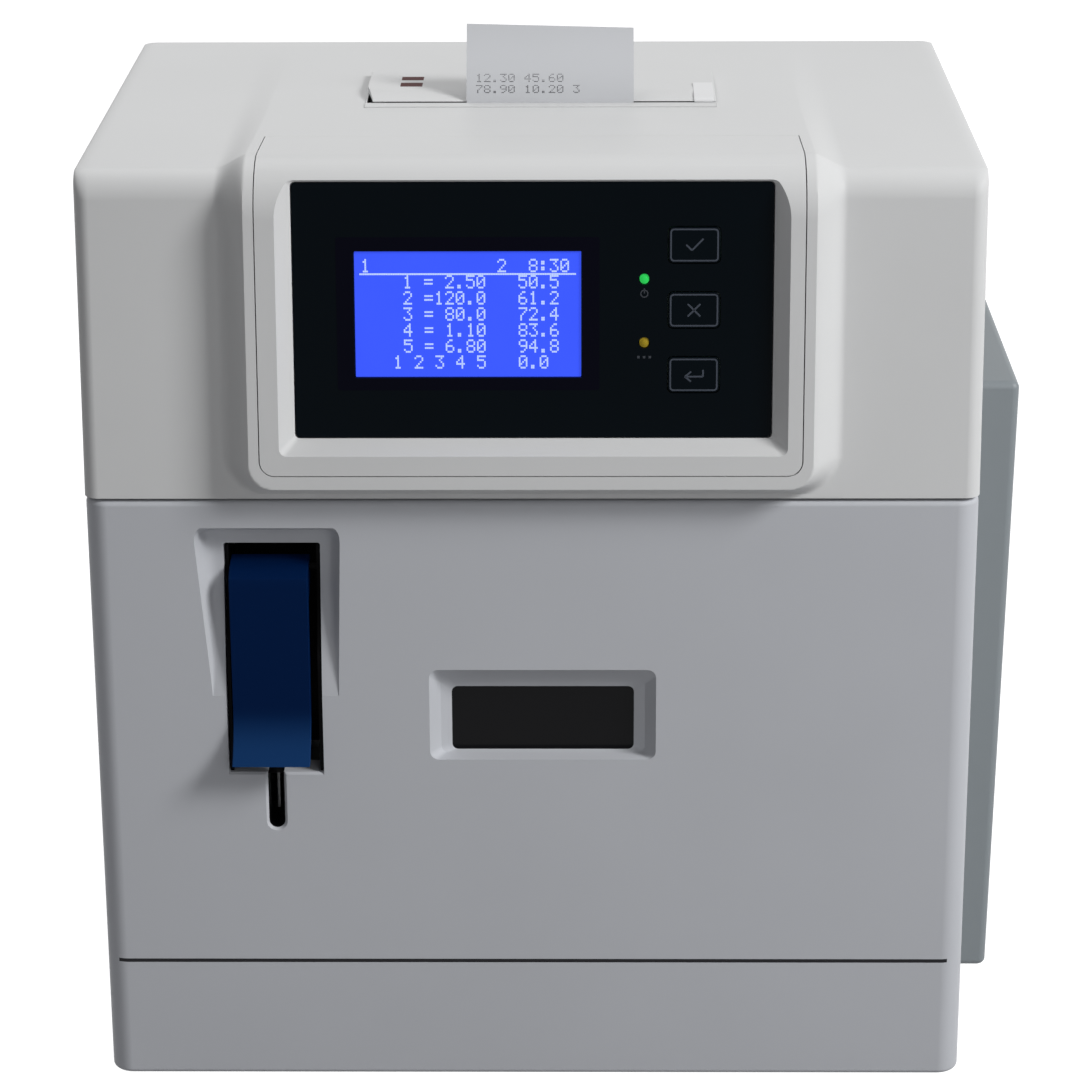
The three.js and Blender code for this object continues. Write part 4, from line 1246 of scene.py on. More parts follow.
class Growth:
    """A Geometry Nodes tree with named inputs, run once and kept as a plain mesh."""

    KINDS = {float: "NodeSocketFloat", int: "NodeSocketInt", tuple: "NodeSocketVector"}

    def __init__(self, name: str, finish: bpy.types.Material, **sizes: object) -> None:
        """Build the tree.

        Args:
            name: Name of the tree and of its mesh.
            finish: Material that the tree sets on what it makes.
            sizes: Named inputs with their values, underscores for spaces.
        """
        self.name = name
        self.sizes = {key.replace("_", " "): value for key, value in sizes.items()}
        self.tree = bpy.data.node_groups.new(name, "GeometryNodeTree")
        face = self.tree.interface
        face.new_socket("Geometry", in_out="INPUT", socket_type="NodeSocketGeometry")
        for key, value in self.sizes.items():
            face.new_socket(key, in_out="INPUT", socket_type=self.KINDS[type(value)])
        face.new_socket("Geometry", in_out="OUTPUT", socket_type="NodeSocketGeometry")
        self.source = self.node("NodeGroupInput").outputs
        real = self.node("GeometryNodeRealizeInstances", Geometry=self.shape())
        coat = self.node("GeometryNodeSetMaterial", Geometry=real.outputs[0], Material=finish)
        self.node("NodeGroupOutput", Geometry=coat.outputs[0])

    def node(self, kind: str, settings: dict[str, str] | None = None, **inputs: object) -> bpy.types.Node:
        """Add a node.

        Args:
            kind: The node's type name.
            settings: The node's own properties.
            inputs: A value or socket for each named input, underscores for spaces.

        Returns:
            The new node.
        """
        node = self.tree.nodes.new(kind)
        for key, value in (settings or {}).items():
            setattr(node, key, value)
        for key, value in inputs.items():
            socket = node.inputs[key.replace("_", " ")]
            if isinstance(value, bpy.types.NodeSocket):
                self.tree.links.new(value, socket)
            else:
                socket.default_value = value
        return node

    def shape(self) -> bpy.types.NodeSocket:
        """The geometry that the tree makes, built by each kind of growth."""
        raise NotImplementedError

    def scattered(self, piece: bpy.types.Node, **inputs: object) -> bpy.types.NodeSocket:
        """A piece's mesh on every point that the tree is run over."""
        return self.node("GeometryNodeInstanceOnPoints", Points=self.source[0],
                         Instance=piece.outputs["Mesh"], **inputs).outputs[0]

    def over(self, spots: Sequence[Point] = ()) -> Form:
        """Run the tree over points.

        Args:
            spots: The points, none for a tree that makes its own.

        Returns:
            The real mesh.
        """
        mesh = bpy.data.meshes.new(self.name)
        mesh.from_pydata([tuple(spot) for spot in spots], [], [])
        form = Form(mesh)
        modifier = form.thing.modifiers.new(self.name, "NODES")
        modifier.node_group = self.tree
        for item in self.tree.interface.items_tree:
            if item.name in self.sizes:
                modifier[item.identifier] = self.sizes[item.name]
        return form.bake()


class Blocks(Growth):
    """The same small block on every point."""

    def shape(self) -> bpy.types.NodeSocket:
        """Set a block on the points."""
        return self.scattered(self.node("GeometryNodeMeshCube", Size=self.source["Size"]))


class Heads(Growth):
    """The same turned head on every point, facing along Y."""

    def shape(self) -> bpy.types.NodeSocket:
        """Set a short cylinder on the points."""
        size = {name: self.source[name] for name in ("Radius", "Depth")}
        cylinder = self.node("GeometryNodeMeshCylinder", Vertices=24, **size)
        return self.scattered(cylinder, Rotation=self.source["Turn"])


class Ribbon(Growth):
    """A flat strip swept along one curve."""

    def shape(self) -> bpy.types.NodeSocket:
        """Sweep the strip's section along the curve, with its width across.

        Returns:
            The strip's geometry.
        """
        out = self.source
        ends = {name.replace(" ", "_"): out[name] for name in ("Start", "Start Handle", "End Handle", "End")}
        curve = self.node("GeometryNodeCurvePrimitiveBezierSegment", {"mode": "POSITION"}, Resolution=24, **ends)
        level = self.node("GeometryNodeSetCurveNormal", {"mode": "FREE"}, Curve=curve.outputs[0],
                          Normal=(1.0, 0.0, 0.0))
        section = self.node("GeometryNodeCurvePrimitiveQuadrilateral", Width=out["Width"], Height=out["Thickness"])
        return self.node("GeometryNodeCurveToMesh", Curve=level.outputs[0], Profile_Curve=section.outputs[0],
                         Fill_Caps=True).outputs[0]


# Door, window and lever


@dataclass
class FrontDoor:
    """The hinged door with the lever's scoop, the probe slot and the bevelled window."""

    scoop: Box = (-109.6, -62.3, 141.6, 198.1)
    scoop_full: float = 192.6
    deep: float = 8.0
    opening: Box = (-100.9, -69.3, 112.0, 190.4)
    slot: Point = (-85.4, 2.65, 91.9)
    sight: Box = (-26.8, 33.5, 118.1, 140.6)
    bevel: Box = (-34.0, 40.7, 116.7, 148.7)
    pane: Box = (-30.5, 37.4, 115.0, 146.7)
    edge: float = 1.8
    rim: float = 20.0
    wall: float = 3.0
    hinge: Flat = (-139.5, 14)
    barrel: float = 5.5
    relief: float = 5.0
    pin: float = 1.8

    def skin(self) -> Form:
        """The door's outer body with round front corners and edges.

        Returns:
            The solid body.
        """
        edge = turned(self.edge)
        rings = []
        for z, inset in edge + [(BODY.seam - z, inset) for z, inset in reversed(edge)]:
            side, r = BODY.half - inset, BODY.corner - inset
            ring = arc_points((side - r, inset + r), r, 270, 360, 12) + [(side, self.rim), (-side, self.rim)]
            rings.append(at_z(ring + arc_points((-side + r, inset + r), r, 180, 270, 12), z))
        return Form.loft(rings)

    def scoop_cut(self) -> Form:
        """The soft recess round the lever, deep at its top and flush at its foot.

        Returns:
            The form to cut away.
        """
        x0, x1, low, high = self.scoop
        rings = []
        for z in (low - 2, low + 6, 160.0, 175.0, 188.0, self.scoop_full):
            t = max(0.0, (z - low) / (self.scoop_full - low))
            draft = 0.3 + 3.4 * min(1.0, 2.2 * t)
            rings.append(self.level(z, x0 + 4.2 * (1 - t), x1 - 1.4 * (1 - t), self.deep * t + 0.05, draft))
        crest = ((193.6, 7.95, 0.0), (195.0, 7.3, 0.1), (196.4, 4.6, 0.5), (197.4, 1.7, 1.1), (high, 0.05, 2.0))
        for z, depth, inset in crest:
            rings.append(self.level(z, x0 + inset, x1 - inset, depth, 3.7 - 0.5 * (1 - depth / self.deep)))
        return Form.loft(rings)

    @staticmethod
    def level(z: float, x0: float, x1: float, depth: float, draft: float) -> list[Point]:
        """One level of the scoop, with soft feet to its walls.

        Args:
            z: Its height.
            x0: Its left edge.
            x1: Its right edge.
            depth: Depth of its floor.
            draft: How far its walls lean inwards.

        Returns:
            The level's points.
        """
        turn = [(0.0, -3.0), (0.0, 0.0), (0.45, 0.55), (0.75, 0.84), (1.15, 0.97), (1.7, 1.0)]
        wall = [(draft * s, depth * d if d > 0 else d) for s, d in turn]
        return at_z([(x0 + s, d) for s, d in wall] + [(x1 - s, d) for s, d in reversed(wall)], z)

    def slot_outline(self, grow: float, top: float) -> list[Flat]:
        """The probe slot's outline.

        Args:
            grow: How much larger it is on every side.
            top: Height at which it ends.

        Returns:
            The outline's points.
        """
        x, half, foot = self.slot
        arc = arc_points((x, foot + half), half + grow, 180, 360, 12)
        return [*arc, (x + half + grow, top), (x - half - grow, top)]

    def slot_chamfer(self) -> Form:
        """The open edge round the probe's slot and the foot of the lever's opening.

        Returns:
            The form to cut away.
        """
        x0, x1, foot = self.opening[:3]
        sides = [at_y(self.slot_outline(grow, foot + 3), y) for y, grow in ((-0.6, 1.4), (0.0, 0.85), (1.1, -0.1))]
        sill = [at_y([(x0, foot - grow), (x1, foot - grow), (x1, foot + 2), (x0, foot + 2)], y)
                for y, grow in ((-0.6, 1.2), (0.0, 0.7), (0.9, -0.1))]
        return Form.loft(sides).join(Form.loft(sill))

    def window_cut(self) -> Form:
        """The bevel round the window and the hole in it.

        Returns:
            The form to cut away.
        """
        deep, flush = rounded(*self.sight, 2.0, 6), rounded(*self.bevel, 3.0, 6)
        wide, foot = between(flush, deep, -0.26), between(deep, flush, 0.5)
        rings = [at_y(edge, y) for y, edge in ((6.0, deep), (4.6, foot), (0.0, flush), (-2.4, wide))]
        return Form.loft(rings).join(Form.along_y(deep, 5, 20))

    def hinge_edge(self) -> Form:
        """The corner behind the hinge that has to go so that the door can turn.

        Returns:
            The form to cut away.
        """
        x, y = self.hinge
        round_it = Form.along_z(circle(self.hinge, self.relief, 36), -4, 214)
        return Form.block(-147, x, y, y + 10, -2, 212).cut(round_it)

    def shell(self) -> Form:
        """The hollow door with its backing, hinge barrel and openings.

        Returns:
            The finished shell.
        """
        inner, wall = BODY.half - self.wall, self.wall
        shell = self.skin().cut(Form.block(-inner, inner, wall, 25, wall, BODY.seam - wall))
        backing = Form.block(-111.9, -54.5, 0.3, 11, 85.7, 204.0)
        around = Form.block(-33.5, 40.4, 0.3, 6, 114.3, 151.7)
        barrel = Form.along_z(circle(self.hinge, self.barrel), 1.6, BODY.seam - 1.6)
        edge = self.hinge_edge()
        shell.join(backing, around, barrel)
        hole = Form.along_y(rounded(*self.opening, 0.8, 4), -5, 20)
        slit = Form.along_y(self.slot_outline(0, self.opening[2] + 3), -5, 20)
        pin = Form.along_z(circle(self.hinge, self.pin), -5, 212)
        shell.cut(self.scoop_cut(), hole, slit, self.slot_chamfer(), self.window_cut(), edge, pin)
        return shell.round(0.55, 3, 30)

    def build(self, model: Model, finish: bpy.types.Material, glass: bpy.types.Material,
              dark: bpy.types.Material) -> None:
        """Make the door, the lining of its slot and its window.

        Args:
            model: Takes the finished pieces.
            finish: The door's plastic.
            glass: The smoked window's finish.
            dark: The lining's finish.
        """
        model.add("door_face", self.shell(), "door", "door", finish, ["front_door"])
        foot = self.opening[2]
        inside = Form.along_y(self.slot_outline(-0.3, foot - 0.4), -5, 20)
        lining = Form.along_y(self.slot_outline(-0.02, foot - 0.3), 0.9, 11).cut(inside)
        model.add("probe_slot_lining", lining, "door", "black", dark)
        left, right, low, high = self.pane
        pane = Form.block(left, right, 6.3, 8.8, low, high).round(0.3, 2)
        model.add("window_glass", pane, "door", "pane_gloss", glass, ["window_pane"])


@dataclass
class Lever:
    """The sampling lever: a shell with a sloped brow, a flat face and a lip that flares out."""

    left: float = -98.8
    right: float = -73.2
    top: float = 184.9
    bottom: float = 118.2
    pivot: Flat = (12, 181)
    bore: float = 1.8

    def build(self, model: Model, finish: bpy.types.Material) -> None:
        """Make the lever from its side profile.

        Args:
            model: Takes the finished piece.
            finish: The lever's plastic.
        """
        brow = [(12.0, self.top), (4.2, 183.5), (1.4, 182.2), (-0.5, 180.6), (-1.0, 177.5)]
        lip = [(-1.0, 133.5), (-1.4, 130.0), (-3.0, 125.8), (-6.0, 121.4), (-10.0, self.bottom)]
        under = [(-7.0, self.bottom), (-1.2, 124.8), (1.4, 128.8), (2.4, 132.5), (4.0, 138.0)]
        hub = [(4.0, 171.0), (16.5, 176.5), (16.8, 181.5), (14.5, 184.0)]
        arm = Form.along_x([*brow, *lip, *under, *hub], self.left, self.right)
        arm.cut(Form.along_x(circle(self.pivot, self.bore), -110, -60)).round(0.7, 4, 28)
        model.add("lever_shell", arm, "lever", "navy", finish, ["probe_lever"], smooth=40)


# Reagent pack and printer


@dataclass
class ReagentPack:
    """The pack's outer cover, which widens upwards."""

    front: float = 60.0
    back: float = 190.0
    bottom: float = 11.3
    top: float = 228.8
    out_top: float = 163.7
    out_bottom: float = 159.9
    radius: float = 2.5
    wall: float = 2.6

    def ring(self, z: float, inset: float) -> list[Point]:
        """One level of the cover.

        Args:
            z: Its height.
            inset: Distance inside the surface, at the round edges.

        Returns:
            The level's points.
        """
        slope = (self.out_top - self.out_bottom) / (self.top - self.bottom)
        out = self.out_bottom + slope * (z - self.bottom)
        r, inner = max(self.radius - inset * 0.6, 0.3), BODY.half + 0.3
        y0, y1, x1 = self.front + inset, self.back - inset, out - inset
        ring = arc_points((x1 - r, y0 + r), r, 270, 360, 6) + arc_points((x1 - r, y1 - r), r, 0, 90, 6)
        return at_z([*ring, (inner, y1), (inner, y0)], z)

    def build(self, model: Model, finish: bpy.types.Material) -> None:
        """Loft the cover and hollow it.

        Args:
            model: Takes the finished piece.
            finish: The pack's plastic.
        """
        edge, w = turned(self.radius), self.wall
        levels = [(self.bottom + z, inset) for z, inset in edge]
        levels += [(self.top - z, inset) for z, inset in reversed(edge)]
        room = Form.block(100, self.out_bottom - w, self.front + w, self.back - w, self.bottom + w, self.top - w)
        cover = Form.loft([self.ring(z, inset) for z, inset in levels]).cut(room).round(0.4, 2, 50)
        model.add("pack_shell", cover, "pack", "pack", finish, ["pack_cover"])


@dataclass
class Printer:
    """The printer's front bar, its lid with the marks and the tab, and the paper."""

    left: float = -57.5
    right: float = 62.0
    front: float = 101.3
    back: float = 150.0
    rise: float = 2.6
    tail: float = 2.0
    lip: float = 0.6
    wall: float = 2.5
    deep: float = 52.0
    bar: float = 5.8
    joint: float = 6.1
    platen: Flat = (113.2, 309)
    bore: float = 1.8
    ear: float = 3.0
    paper_width: float = 57.0
    paper_thick: float = 0.28
    paper_middle: float = 5.5
    dot: float = 0.34
    dot_pitch: Flat = (0.46, 0.38)
    rows: tuple[tuple[str, float], ...] = (("12.30 45.60", 323.6), ("78.90 10.20 3", 320.0))
    rows_left: float = -19.6

    @property
    def edge(self) -> float:
        """Depth of the lid's front edge."""
        return self.front + self.joint

    def build(self, model: Model, finishes: Finishes) -> None:
        """Make the cradle, the lid and the paper.

        Args:
            model: Takes the finished pieces.
            finishes: All finishes by name.
        """
        model.add("printer_cradle", self.cradle(), "root", "casing", finishes["roof"], ["printer_frame"])
        model.add("printer_lid_shell", self.lid(), "printer_lid", "casing", finishes["roof"], ["printer_cover"])
        marks = [self.patch(-46.4, -38.8, y0, y1, 0.03) for y0, y1 in ((123.0, 129.5), (134.0, 140.0))]
        model.add("lid_marks", marks[0].add(*marks[1:]), "printer_lid", "casing", finishes["red"])
        # The tab is a raised strip at the lid's right end; its colour, paler than the roof, is a painted highlight
        # where that end faces the light
        rim = [(self.edge - 0.3, BODY.top + 0.4), *self.ramp()[:2], (127.0, self.height(127.0))]
        tab = Form.along_x([*rim, *[(y - 0.1, z + 0.5) for y, z in reversed(rim)]], 54.6, 61.3).round(0.12, 2)
        model.add("lid_tab", tab, "printer_lid", "casing", finishes["tab"])
        self.paper(model, finishes["paper"], finishes["print"])

    def cradle(self) -> Form:
        """The open box under the lid with the bar along its front.

        Returns:
            The finished cradle.
        """
        top, x0, x1, front, wall = BODY.top, self.left, self.right, self.front, self.wall
        floor = top - self.deep
        cradle = Form.block(x0, x1, front, self.back, floor, top + 0.3)
        cradle.cut(Form.block(x0 + wall, x1 - wall, front + wall, self.back - wall, floor + wall, top + 5))
        cradle.cut(Form.block(x0 + 0.4, x0 + 2.6, front + 5.9, front + 22.0, top - 8, top + 1))
        return cradle.join(Form.block(x0, x1, front, front + self.bar, top - 1.0, top + 0.35)).round(0.2, 2)

    def lid(self) -> Form:
        """The lid with the platen's ears and a notch at its front left corner.

        Returns:
            The finished lid.
        """
        x0, x1, edge, low = self.left, self.right, self.edge, BODY.top + self.lip
        (y, z), half = self.platen, self.ear
        corner = [(x0 - 1, edge - 1), (x0 + 2.5, edge - 1), (x0 + 2.3, edge + 1), (x0 - 0.2, edge + 17),
                  (x0 - 1, edge + 17)]
        notch = Form.along_z(corner, low - 3, BODY.top + 9)
        ears = [Form.block(x, x + 3, y - half, y + half, z - half, low + 0.3) for x in (x0 + 2.8, x1 - 5.8)]
        bore = Form.along_x(circle(self.platen, self.bore), x0 - 2, x1 + 2)
        lid = Form.along_x([(edge, low), *self.ramp(), (self.back, low)], x0, x1)
        return lid.join(*ears).cut(bore, notch).round(0.4, 3)

    def ramp(self) -> list[Flat]:
        """The lid's upper outline, from its front edge to its back, as (y, z) points."""
        edge, top = self.edge, BODY.top
        return [(edge + 0.1, top + 0.9), (edge + 4.0, top + self.rise * 0.75), (edge + 10.0, top + self.rise),
                (self.back, top + self.tail)]

    def height(self, y: float) -> float:
        """The lid's upper surface behind its front ramp."""
        crest = self.front + 16.1
        return BODY.top + self.rise + (y - crest) / (self.back - crest) * (self.tail - self.rise)

    def patch(self, x0: float, x1: float, y0: float, y1: float, thick: float) -> Form:
        """A thin raised patch on the lid."""
        low, high = self.height(y0), self.height(y1)
        return Form.along_x([(y0, low - 0.2), (y1, high - 0.2), (y1, high + thick), (y0, low + thick)], x0, x1)

    def paper(self, model: Model, finish: bpy.types.Material, ink: bpy.types.Material) -> None:
        """The strip that curls out of the slot, with two rows of small plain figures.

        Args:
            model: Takes the finished pieces.
            finish: The paper's finish.
            ink: The figures' finish.
        """
        start, leave, arrive, end = at_x(self.spine(), self.paper_middle)
        strip = Ribbon("paper_sweep", finish, Start=start, Start_Handle=leave, End_Handle=arrive, End=end,
                       Width=self.paper_width, Thickness=self.paper_thick).over()
        strip.cut(Form.along_y([(-24.0, 339.2), (35.0, 337.8), (35.0, 345.0), (-24.0, 345.0)], 95, 140))
        model.add("paper_ribbon", strip, "printer_lid", "paper", finish, ["paper_strip"])
        rows = Blocks("paper_dots", ink, Size=(self.dot, 0.03, self.dot))
        model.add("paper_figures", rows.over(self.figures()), "printer_lid", "paper", ink)

    def figures(self) -> list[Point]:
        """Dots of the rows of plain figures on the front of the paper.

        Returns:
            The dots' centres.
        """
        spots = []
        for text, top in self.rows:
            for across, down in lit_dots(text):
                z = top - down * self.dot_pitch[1]
                t = min((abs(self.curl(k / 200)[1] - z), k / 200) for k in range(201))[1]
                spots.append((self.rows_left + across * self.dot_pitch[0], self.curl(t)[0] - 0.16, z))
        return spots

    def spine(self) -> list[Flat]:
        """The paper's curve as the four (y, z) points of a Bezier segment."""
        low, y = BODY.top + self.lip, 107.0
        return [(y, low - 1), (y, low + 10), (y + 5.75, low + 13.3), (y + 11.5, low + 24.8)]

    def curl(self, t: float) -> Flat:
        """A point of the paper's curve.

        Args:
            t: Zero at the slot, one at the free edge.

        Returns:
            The point as (y, z).
        """
        weights = [(1 - t) ** 3, 3 * t * (1 - t) ** 2, 3 * t * t * (1 - t), t ** 3]
        points = self.spine()
        return tuple(sum(weight * point[axis] for weight, point in zip(weights, points)) for axis in range(2))


# Back, chassis and studio


@dataclass
class LowerHousing:
    """The wrap round the sides and back, with the bay's doorway, the rear holes and a row of vents."""

    under: float = -0.25
    front: float = 21.0
    doorway: Box = (68, 182, 20, 196)
    holes: tuple[Box, ...] = ((-113.5, -86.5, 30, 50), (-35.5, -4.5, 34, 46), (-110, -90, 67.5, 82.5))
    vents: int = 8
    vent_first: Point = (59.5, 211.5, 61.75)
    vent_size: Point = (80.0, 12.0, 3.5)
    vent_pitch: float = 9.0
    screw_x: float = 134.0
    # Length and width of the painted shade bars in each screw's cross
    cross: Flat = (3.0, 0.7)

    def wrap(self, finish: bpy.types.Material) -> Form:
        """Loft the wrap and cut its openings.

        Args:
            finish: The casing's plastic.

        Returns:
            The finished wrap.
        """
        r, back = BODY.corner, BODY.depth - BODY.corner
        ring = [(-BODY.half, self.front), (BODY.half, self.front)]
        ring += arc_points((BODY.half - r, back), r, 0, 90, 12) + arc_points((r - BODY.half, back), r, 90, 180, 12)
        wrap = Form.along_z(ring, self.under, BODY.seam)
        wrap.cut(Form.block(-142, 142, 10, 210, -5, 215), Form.block(100, 160, *self.doorway))
        wrap.cut(*[Form.block(a, b, 205, 220, c, d) for a, b, c, d in self.holes])
        x, y, z = self.vent_first
        spots = [(x, y, z + self.vent_pitch * i) for i in range(self.vents)]
        return wrap.cut(Blocks("rear_vents", finish, Size=self.vent_size).over(spots)).round(0.5, 2, 40)

    def build(self, model: Model, finish: bpy.types.Material, steel: bpy.types.Material,
              dark: bpy.types.Material) -> None:
        """Make the wrap and set the screws on the back, with painted shade in their crosses.

        Args:
            model: Takes the finished pieces.
            finish: The casing's plastic.
            steel: The screws' metal.
            dark: The finish of the painted shade in the screws' crosses.
        """
        model.add("chassis_wrap", self.wrap(finish), "root", "casing", finish, ["lower_housing"])
        side, y = self.screw_x, BODY.depth + 0.35
        screws = [(x, y, z) for x in (-side, side) for z in (12.0, 104.0, 196.0)]
        screws += [(x, y, z) for x in (-side, 0.0, side) for z in (216.0, 303.0) if x or z > 300]
        heads = Heads("screw_heads", steel, Radius=2.6, Depth=1.1, Turn=(math.pi / 2, 0.0, 0.0))
        model.add("back_screws", heads.over(screws).round(0.25, 2), "root", "steel", steel)
        # The cross recesses are not cut into the heads: flat dark bars on each head are painted shade where the
        # recess would be
        (long, wide), sunk = self.cross, 0.06
        spots = [(x, y + 0.56, z) for x, y, z in screws]
        cross_shades = [Blocks(name, dark, Size=size).over(spots)
                for name, size in (("cross_shade_level", (long, sunk, wide)), ("cross_shade_upright", (wide, sunk, long)))]
        model.add("back_screw_cross_shade", cross_shades[0].add(cross_shades[1]), "root", "steel", dark)


@dataclass(frozen=True)
class Lamp:
    """One large soft lamp, in casing millimetres."""

    name: str
    spot: Point
    aim: Point
    size: float
    power: float

    def build(self, place: Place) -> None:
        """Set the lamp and aim it.

        Args:
            place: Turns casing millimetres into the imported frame.
        """
        data = bpy.data.lights.new(self.name, "AREA")
        data.size, data.energy, data.shape = self.size * MM, self.power, "SQUARE"
        lamp = linked(self.name, data)
        start, end = place.at(self.spot), place.at(self.aim)
        lamp.location = start
        lamp.rotation_mode = "QUATERNION"
        lamp.rotation_quaternion = (end - start).to_track_quat("-Z", "Y")


@dataclass
class Studio:
    """Camera, pale floor, white background and soft light."""

    place: Place
    sky: Colour = (0.19, 0.19, 0.19 * 1.03)
    ground: Colour = (0.28, 0.28, 0.285)
    spread: float = 6.0
    foot: float = -5.0
    lamps: tuple[Lamp, ...] = (
        Lamp("key", (1570, -842, 1434), (0, 60, 180), 620, 40.0),
        Lamp("top", (-380, 480, 1260), (-40, 110, 300), 800, 5.1),
        Lamp("front", (520, -1420, 640), (0, 60, 140), 560, 2.8),
    )
    lens: float = 118.93
    eye: Point = (16.737, -1090.407, 582.333)
    turn: Point = (-0.745, 19.609, -0.270)

    def build(self) -> None:
        """Set the scene's camera and light."""
        self.camera()
        self.world()
        self.floor()
        for lamp in self.lamps:
            lamp.build(self.place)
        settings = bpy.context.scene.view_settings
        settings.view_transform = "Standard"
        settings.look = "None"

    def camera(self) -> None:
        """Place the camera as fitted to the photograph."""
        data = bpy.data.cameras.new("camera")
        data.lens, data.sensor_width, data.clip_start, data.clip_end = self.lens, 36.0, 0.05, 50.0
        yaw, pitch, roll = (math.radians(angle) for angle in self.turn)
        forward = Vector((math.sin(yaw) * math.cos(pitch), math.cos(yaw) * math.cos(pitch), -math.sin(pitch)))
        right = Vector((math.cos(yaw), -math.sin(yaw), 0))
        up = right.cross(forward)
        across = right * math.cos(roll) + up * math.sin(roll)
        upward = up * math.cos(roll) - right * math.sin(roll)
        turn = Matrix((across, upward, -forward)).transposed()
        camera = linked("camera", data)
        camera.matrix_world = Matrix.Translation(self.place.at(self.eye)) @ turn.to_4x4()
        bpy.context.scene.camera = camera

    def backdrop(self, tree: bpy.types.NodeTree, light: Colour) -> bpy.types.NodeSocket:
        """Mix white, for what the camera, metal and glass see, with the colour that lights the object.

        Args:
            tree: Node tree of the floor's material or of the world.
            light: Colour that diffuse rays see.

        Returns:
            The mixed colour's socket.
        """
        seen = tree.nodes.new("ShaderNodeLightPath")
        mask = seen.outputs["Is Camera Ray"]
        for name in ("Is Glossy Ray", "Is Transmission Ray"):
            both = tree.nodes.new("ShaderNodeMath")
            both.operation = "MAXIMUM"
            tree.links.new(mask, both.inputs[0])
            tree.links.new(seen.outputs[name], both.inputs[1])
            mask = both.outputs[0]
        mix = tree.nodes.new("ShaderNodeMix")
        mix.data_type = "RGBA"
        tree.links.new(mask, mix.inputs["Factor"])
        mix.inputs[BLEND_LOW].default_value = (*light, 1.0)
        mix.inputs[BLEND_HIGH].default_value = (1.0, 1.0, 1.0, 1.0)
        return mix.outputs[BLEND_RESULT]

    def world(self) -> None:
        """White behind the object, a soft grey for the light."""
        world = bpy.data.worlds.new("room")
        world.use_nodes = True
        bpy.context.scene.world = world
        tree = world.node_tree
        tree.links.new(self.backdrop(tree, self.sky), tree.nodes["Background"].inputs["Color"])

    def floor(self) -> None:
        """A plain pale floor."""
        mesh = bpy.data.meshes.new("floor")
        z, far = self.place.at((0, 0, self.foot)).z, self.spread
        mesh.from_pydata([(-far, -far, z), (far, -far, z), (far, far, z), (-far, far, z)], [], [(0, 1, 2, 3)])
        paint = Paint("floor")
        paint.set(Base_Color=self.ground, Roughness=0.9, Specular_IOR_Level=0.0)
        paint.set(Emission_Color=self.backdrop(paint.tree, (0.0, 0.0, 0.0)), Emission_Strength=1.0)
        mesh.materials.append(paint.material)
        floor = linked("floor", mesh)


GREY: Colour = (0.60, 0.605, 0.605)
INK: Colour = (0.0008, 0.0028, 0.0048)


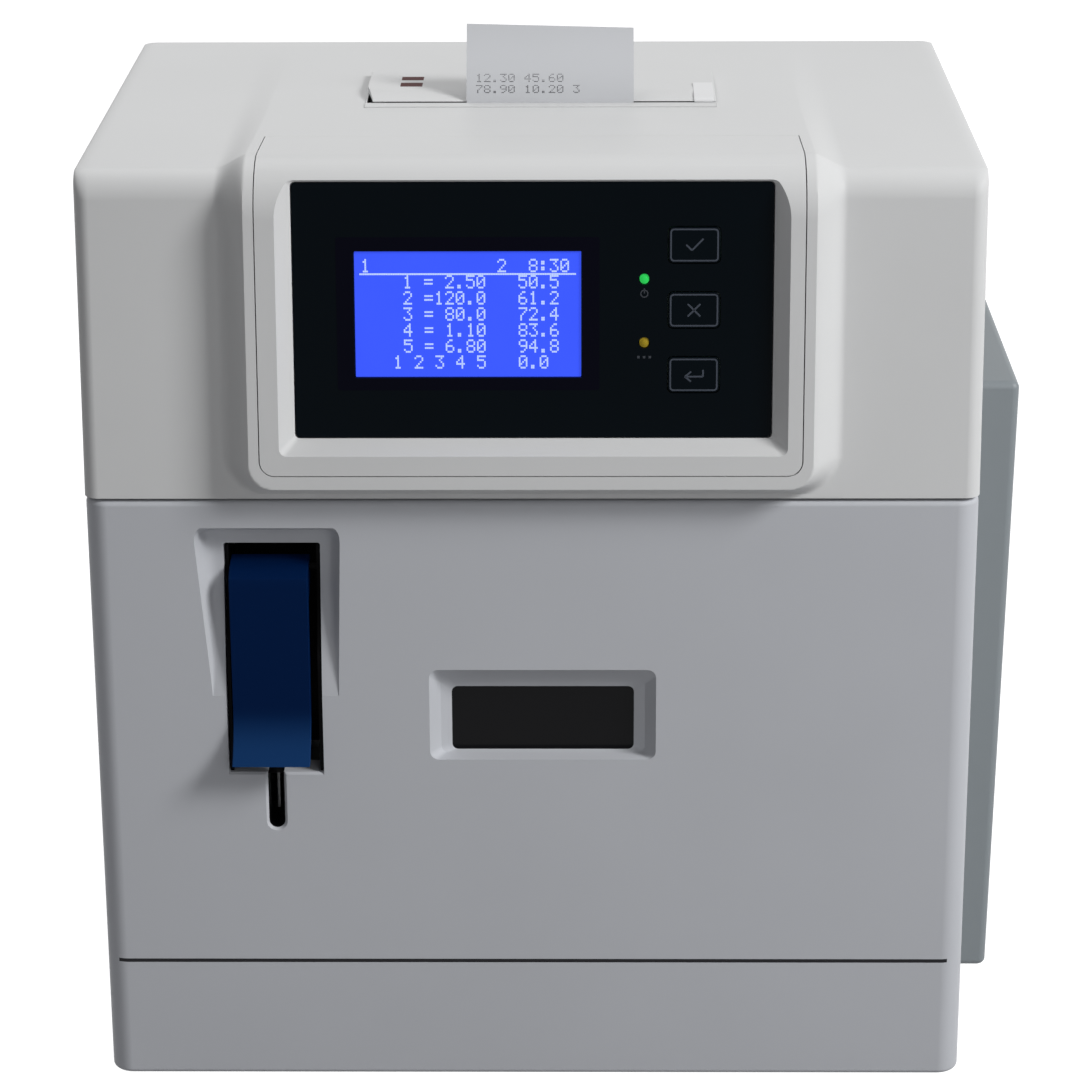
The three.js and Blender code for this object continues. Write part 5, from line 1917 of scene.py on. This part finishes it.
def make_finishes(place: Place) -> Finishes:
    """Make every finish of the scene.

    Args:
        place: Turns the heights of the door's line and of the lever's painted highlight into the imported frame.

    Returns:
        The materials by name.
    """
    low, high = place.at((-140.6, 0, 42.3)), place.at((139.6, 0, 43.6))
    line = {"line_low": low.z, "line_high": high.z, "line_left": low.x, "line_right": high.x}
    # Heights over which the painted highlight on the lever's lip fades out
    lip = {"highlight_low": place.at((0, 0, 121)).z, "highlight_high": place.at((0, 0, 137)).z}
    made = [
        Moulded("casing", GREY, sheen=0.15),
        Moulded("roof", GREY, sheen=0.15),
        DoorPlastic("door", (0.49, 0.503, 0.532), sheen=0.15, **line),
        Moulded("pack", (0.196, 0.220, 0.234), roughness=0.5, sheen=0.55),
        Moulded("black", (0.0022, 0.0022, 0.0026), roughness=0.5, sheen=0.04),
        Gloss("panel", INK),
        Moulded("surround", (0.0012, 0.0013, 0.005), roughness=0.3, sheen=0.03),
        Gloss("pane", (0.004, 0.004, 0.005), sheen=0.08),
        # The lever's lip is painted paler blue as a highlight where it flares up into the light
        LeverPlasticWithPaintedHighlight("navy", (0.0006, 0.0105, 0.052), roughness=0.4, sheen=0.03,
                     lip=(0.0065, 0.034, 0.115), **lip),
        Gloss("key", INK, roughness=0.2),
        Lit("display", (0.040, 0.088, 0.86), 0.80),
        Lit("figures", (0.42, 0.52, 0.95), 0.9),
        Lit("green", (0.02, 0.42, 0.07), 1.0),
        Lit("yellow", (0.36, 0.26, 0.02), 0.30),
        Moulded("legend", (0.055, 0.065, 0.085), roughness=0.4, sheen=0.1),
        Moulded("faint", (0.045, 0.05, 0.06), roughness=0.4, sheen=0.1),
        Moulded("red", (0.06, 0.016, 0.015), roughness=0.5, sheen=0.05),
        # Paler than the casing: a painted highlight on the printer lid's right end
        Moulded("tab", (0.66, 0.665, 0.67), roughness=0.4),
        Moulded("paper", (0.52, 0.53, 0.55), roughness=0.85, relief=0.00001),
        Moulded("print", (0.11, 0.11, 0.12), roughness=0.8, sheen=0.05),
        Metal("steel", (0.58, 0.59, 0.60)),
        Metal("supply", (0.60, 0.61, 0.62), stretch=(1200.0, 40.0, 40.0)),
        Moulded("rubber", (0.012, 0.012, 0.013), roughness=0.75, grain=900.0),
        Moulded("board", (0.012, 0.10, 0.045), roughness=0.35),
        Moulded("acrylic", (0.42, 0.55, 0.62), roughness=0.08, translucent=0.7),
        Moulded("cell", (0.68, 0.70, 0.74), roughness=0.2),
        Moulded("tube", (0.62, 0.52, 0.32), roughness=0.4, translucent=0.2),
        Moulded("bottle", (0.72, 0.76, 0.80), roughness=0.35, translucent=0.35),
    ]
    return {finish.name: finish.material() for finish in made}


# Slots whose finish has another name
SLOT_FINISH = {"panel_gloss": "panel", "pane_gloss": "pane", "lamp_green": "green", "lamp_yellow": "yellow"}


def dress_nodes(paints: Finishes) -> None:
    """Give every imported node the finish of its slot.

    Args:
        paints: All finishes by name.
    """
    slots = {part["node"]: part["material_slot"] for part in frame["record"]["subparts"]}
    for name, node in frame["nodes"].items():
        slot = slots[name]
        node.data.materials.clear()
        node.data.materials.append(paints[SLOT_FINISH.get(slot, slot)])


def main() -> None:
    """Build the whole scene."""
    logging.basicConfig(level=logging.INFO, format="%(message)s")
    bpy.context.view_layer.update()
    place = Place.from_casing()
    paints = make_finishes(place)
    dress_nodes(paints)
    model = Model(place)
    UpperHousing().build(model, paints["casing"])
    Bezel().build(model, paints["casing"])
    ControlPanel().build(model, paints)
    Readout().build(model, paints["figures"])
    FrontDoor().build(model, paints["door"], paints["pane"], paints["black"])
    Lever().build(model, paints["navy"])
    ReagentPack().build(model, paints["pack"])
    Printer().build(model, paints)
    LowerHousing().build(model, paints["casing"], paints["steel"], paints["black"])
    Studio(place).build()


if __name__ == "__main__":
    main()
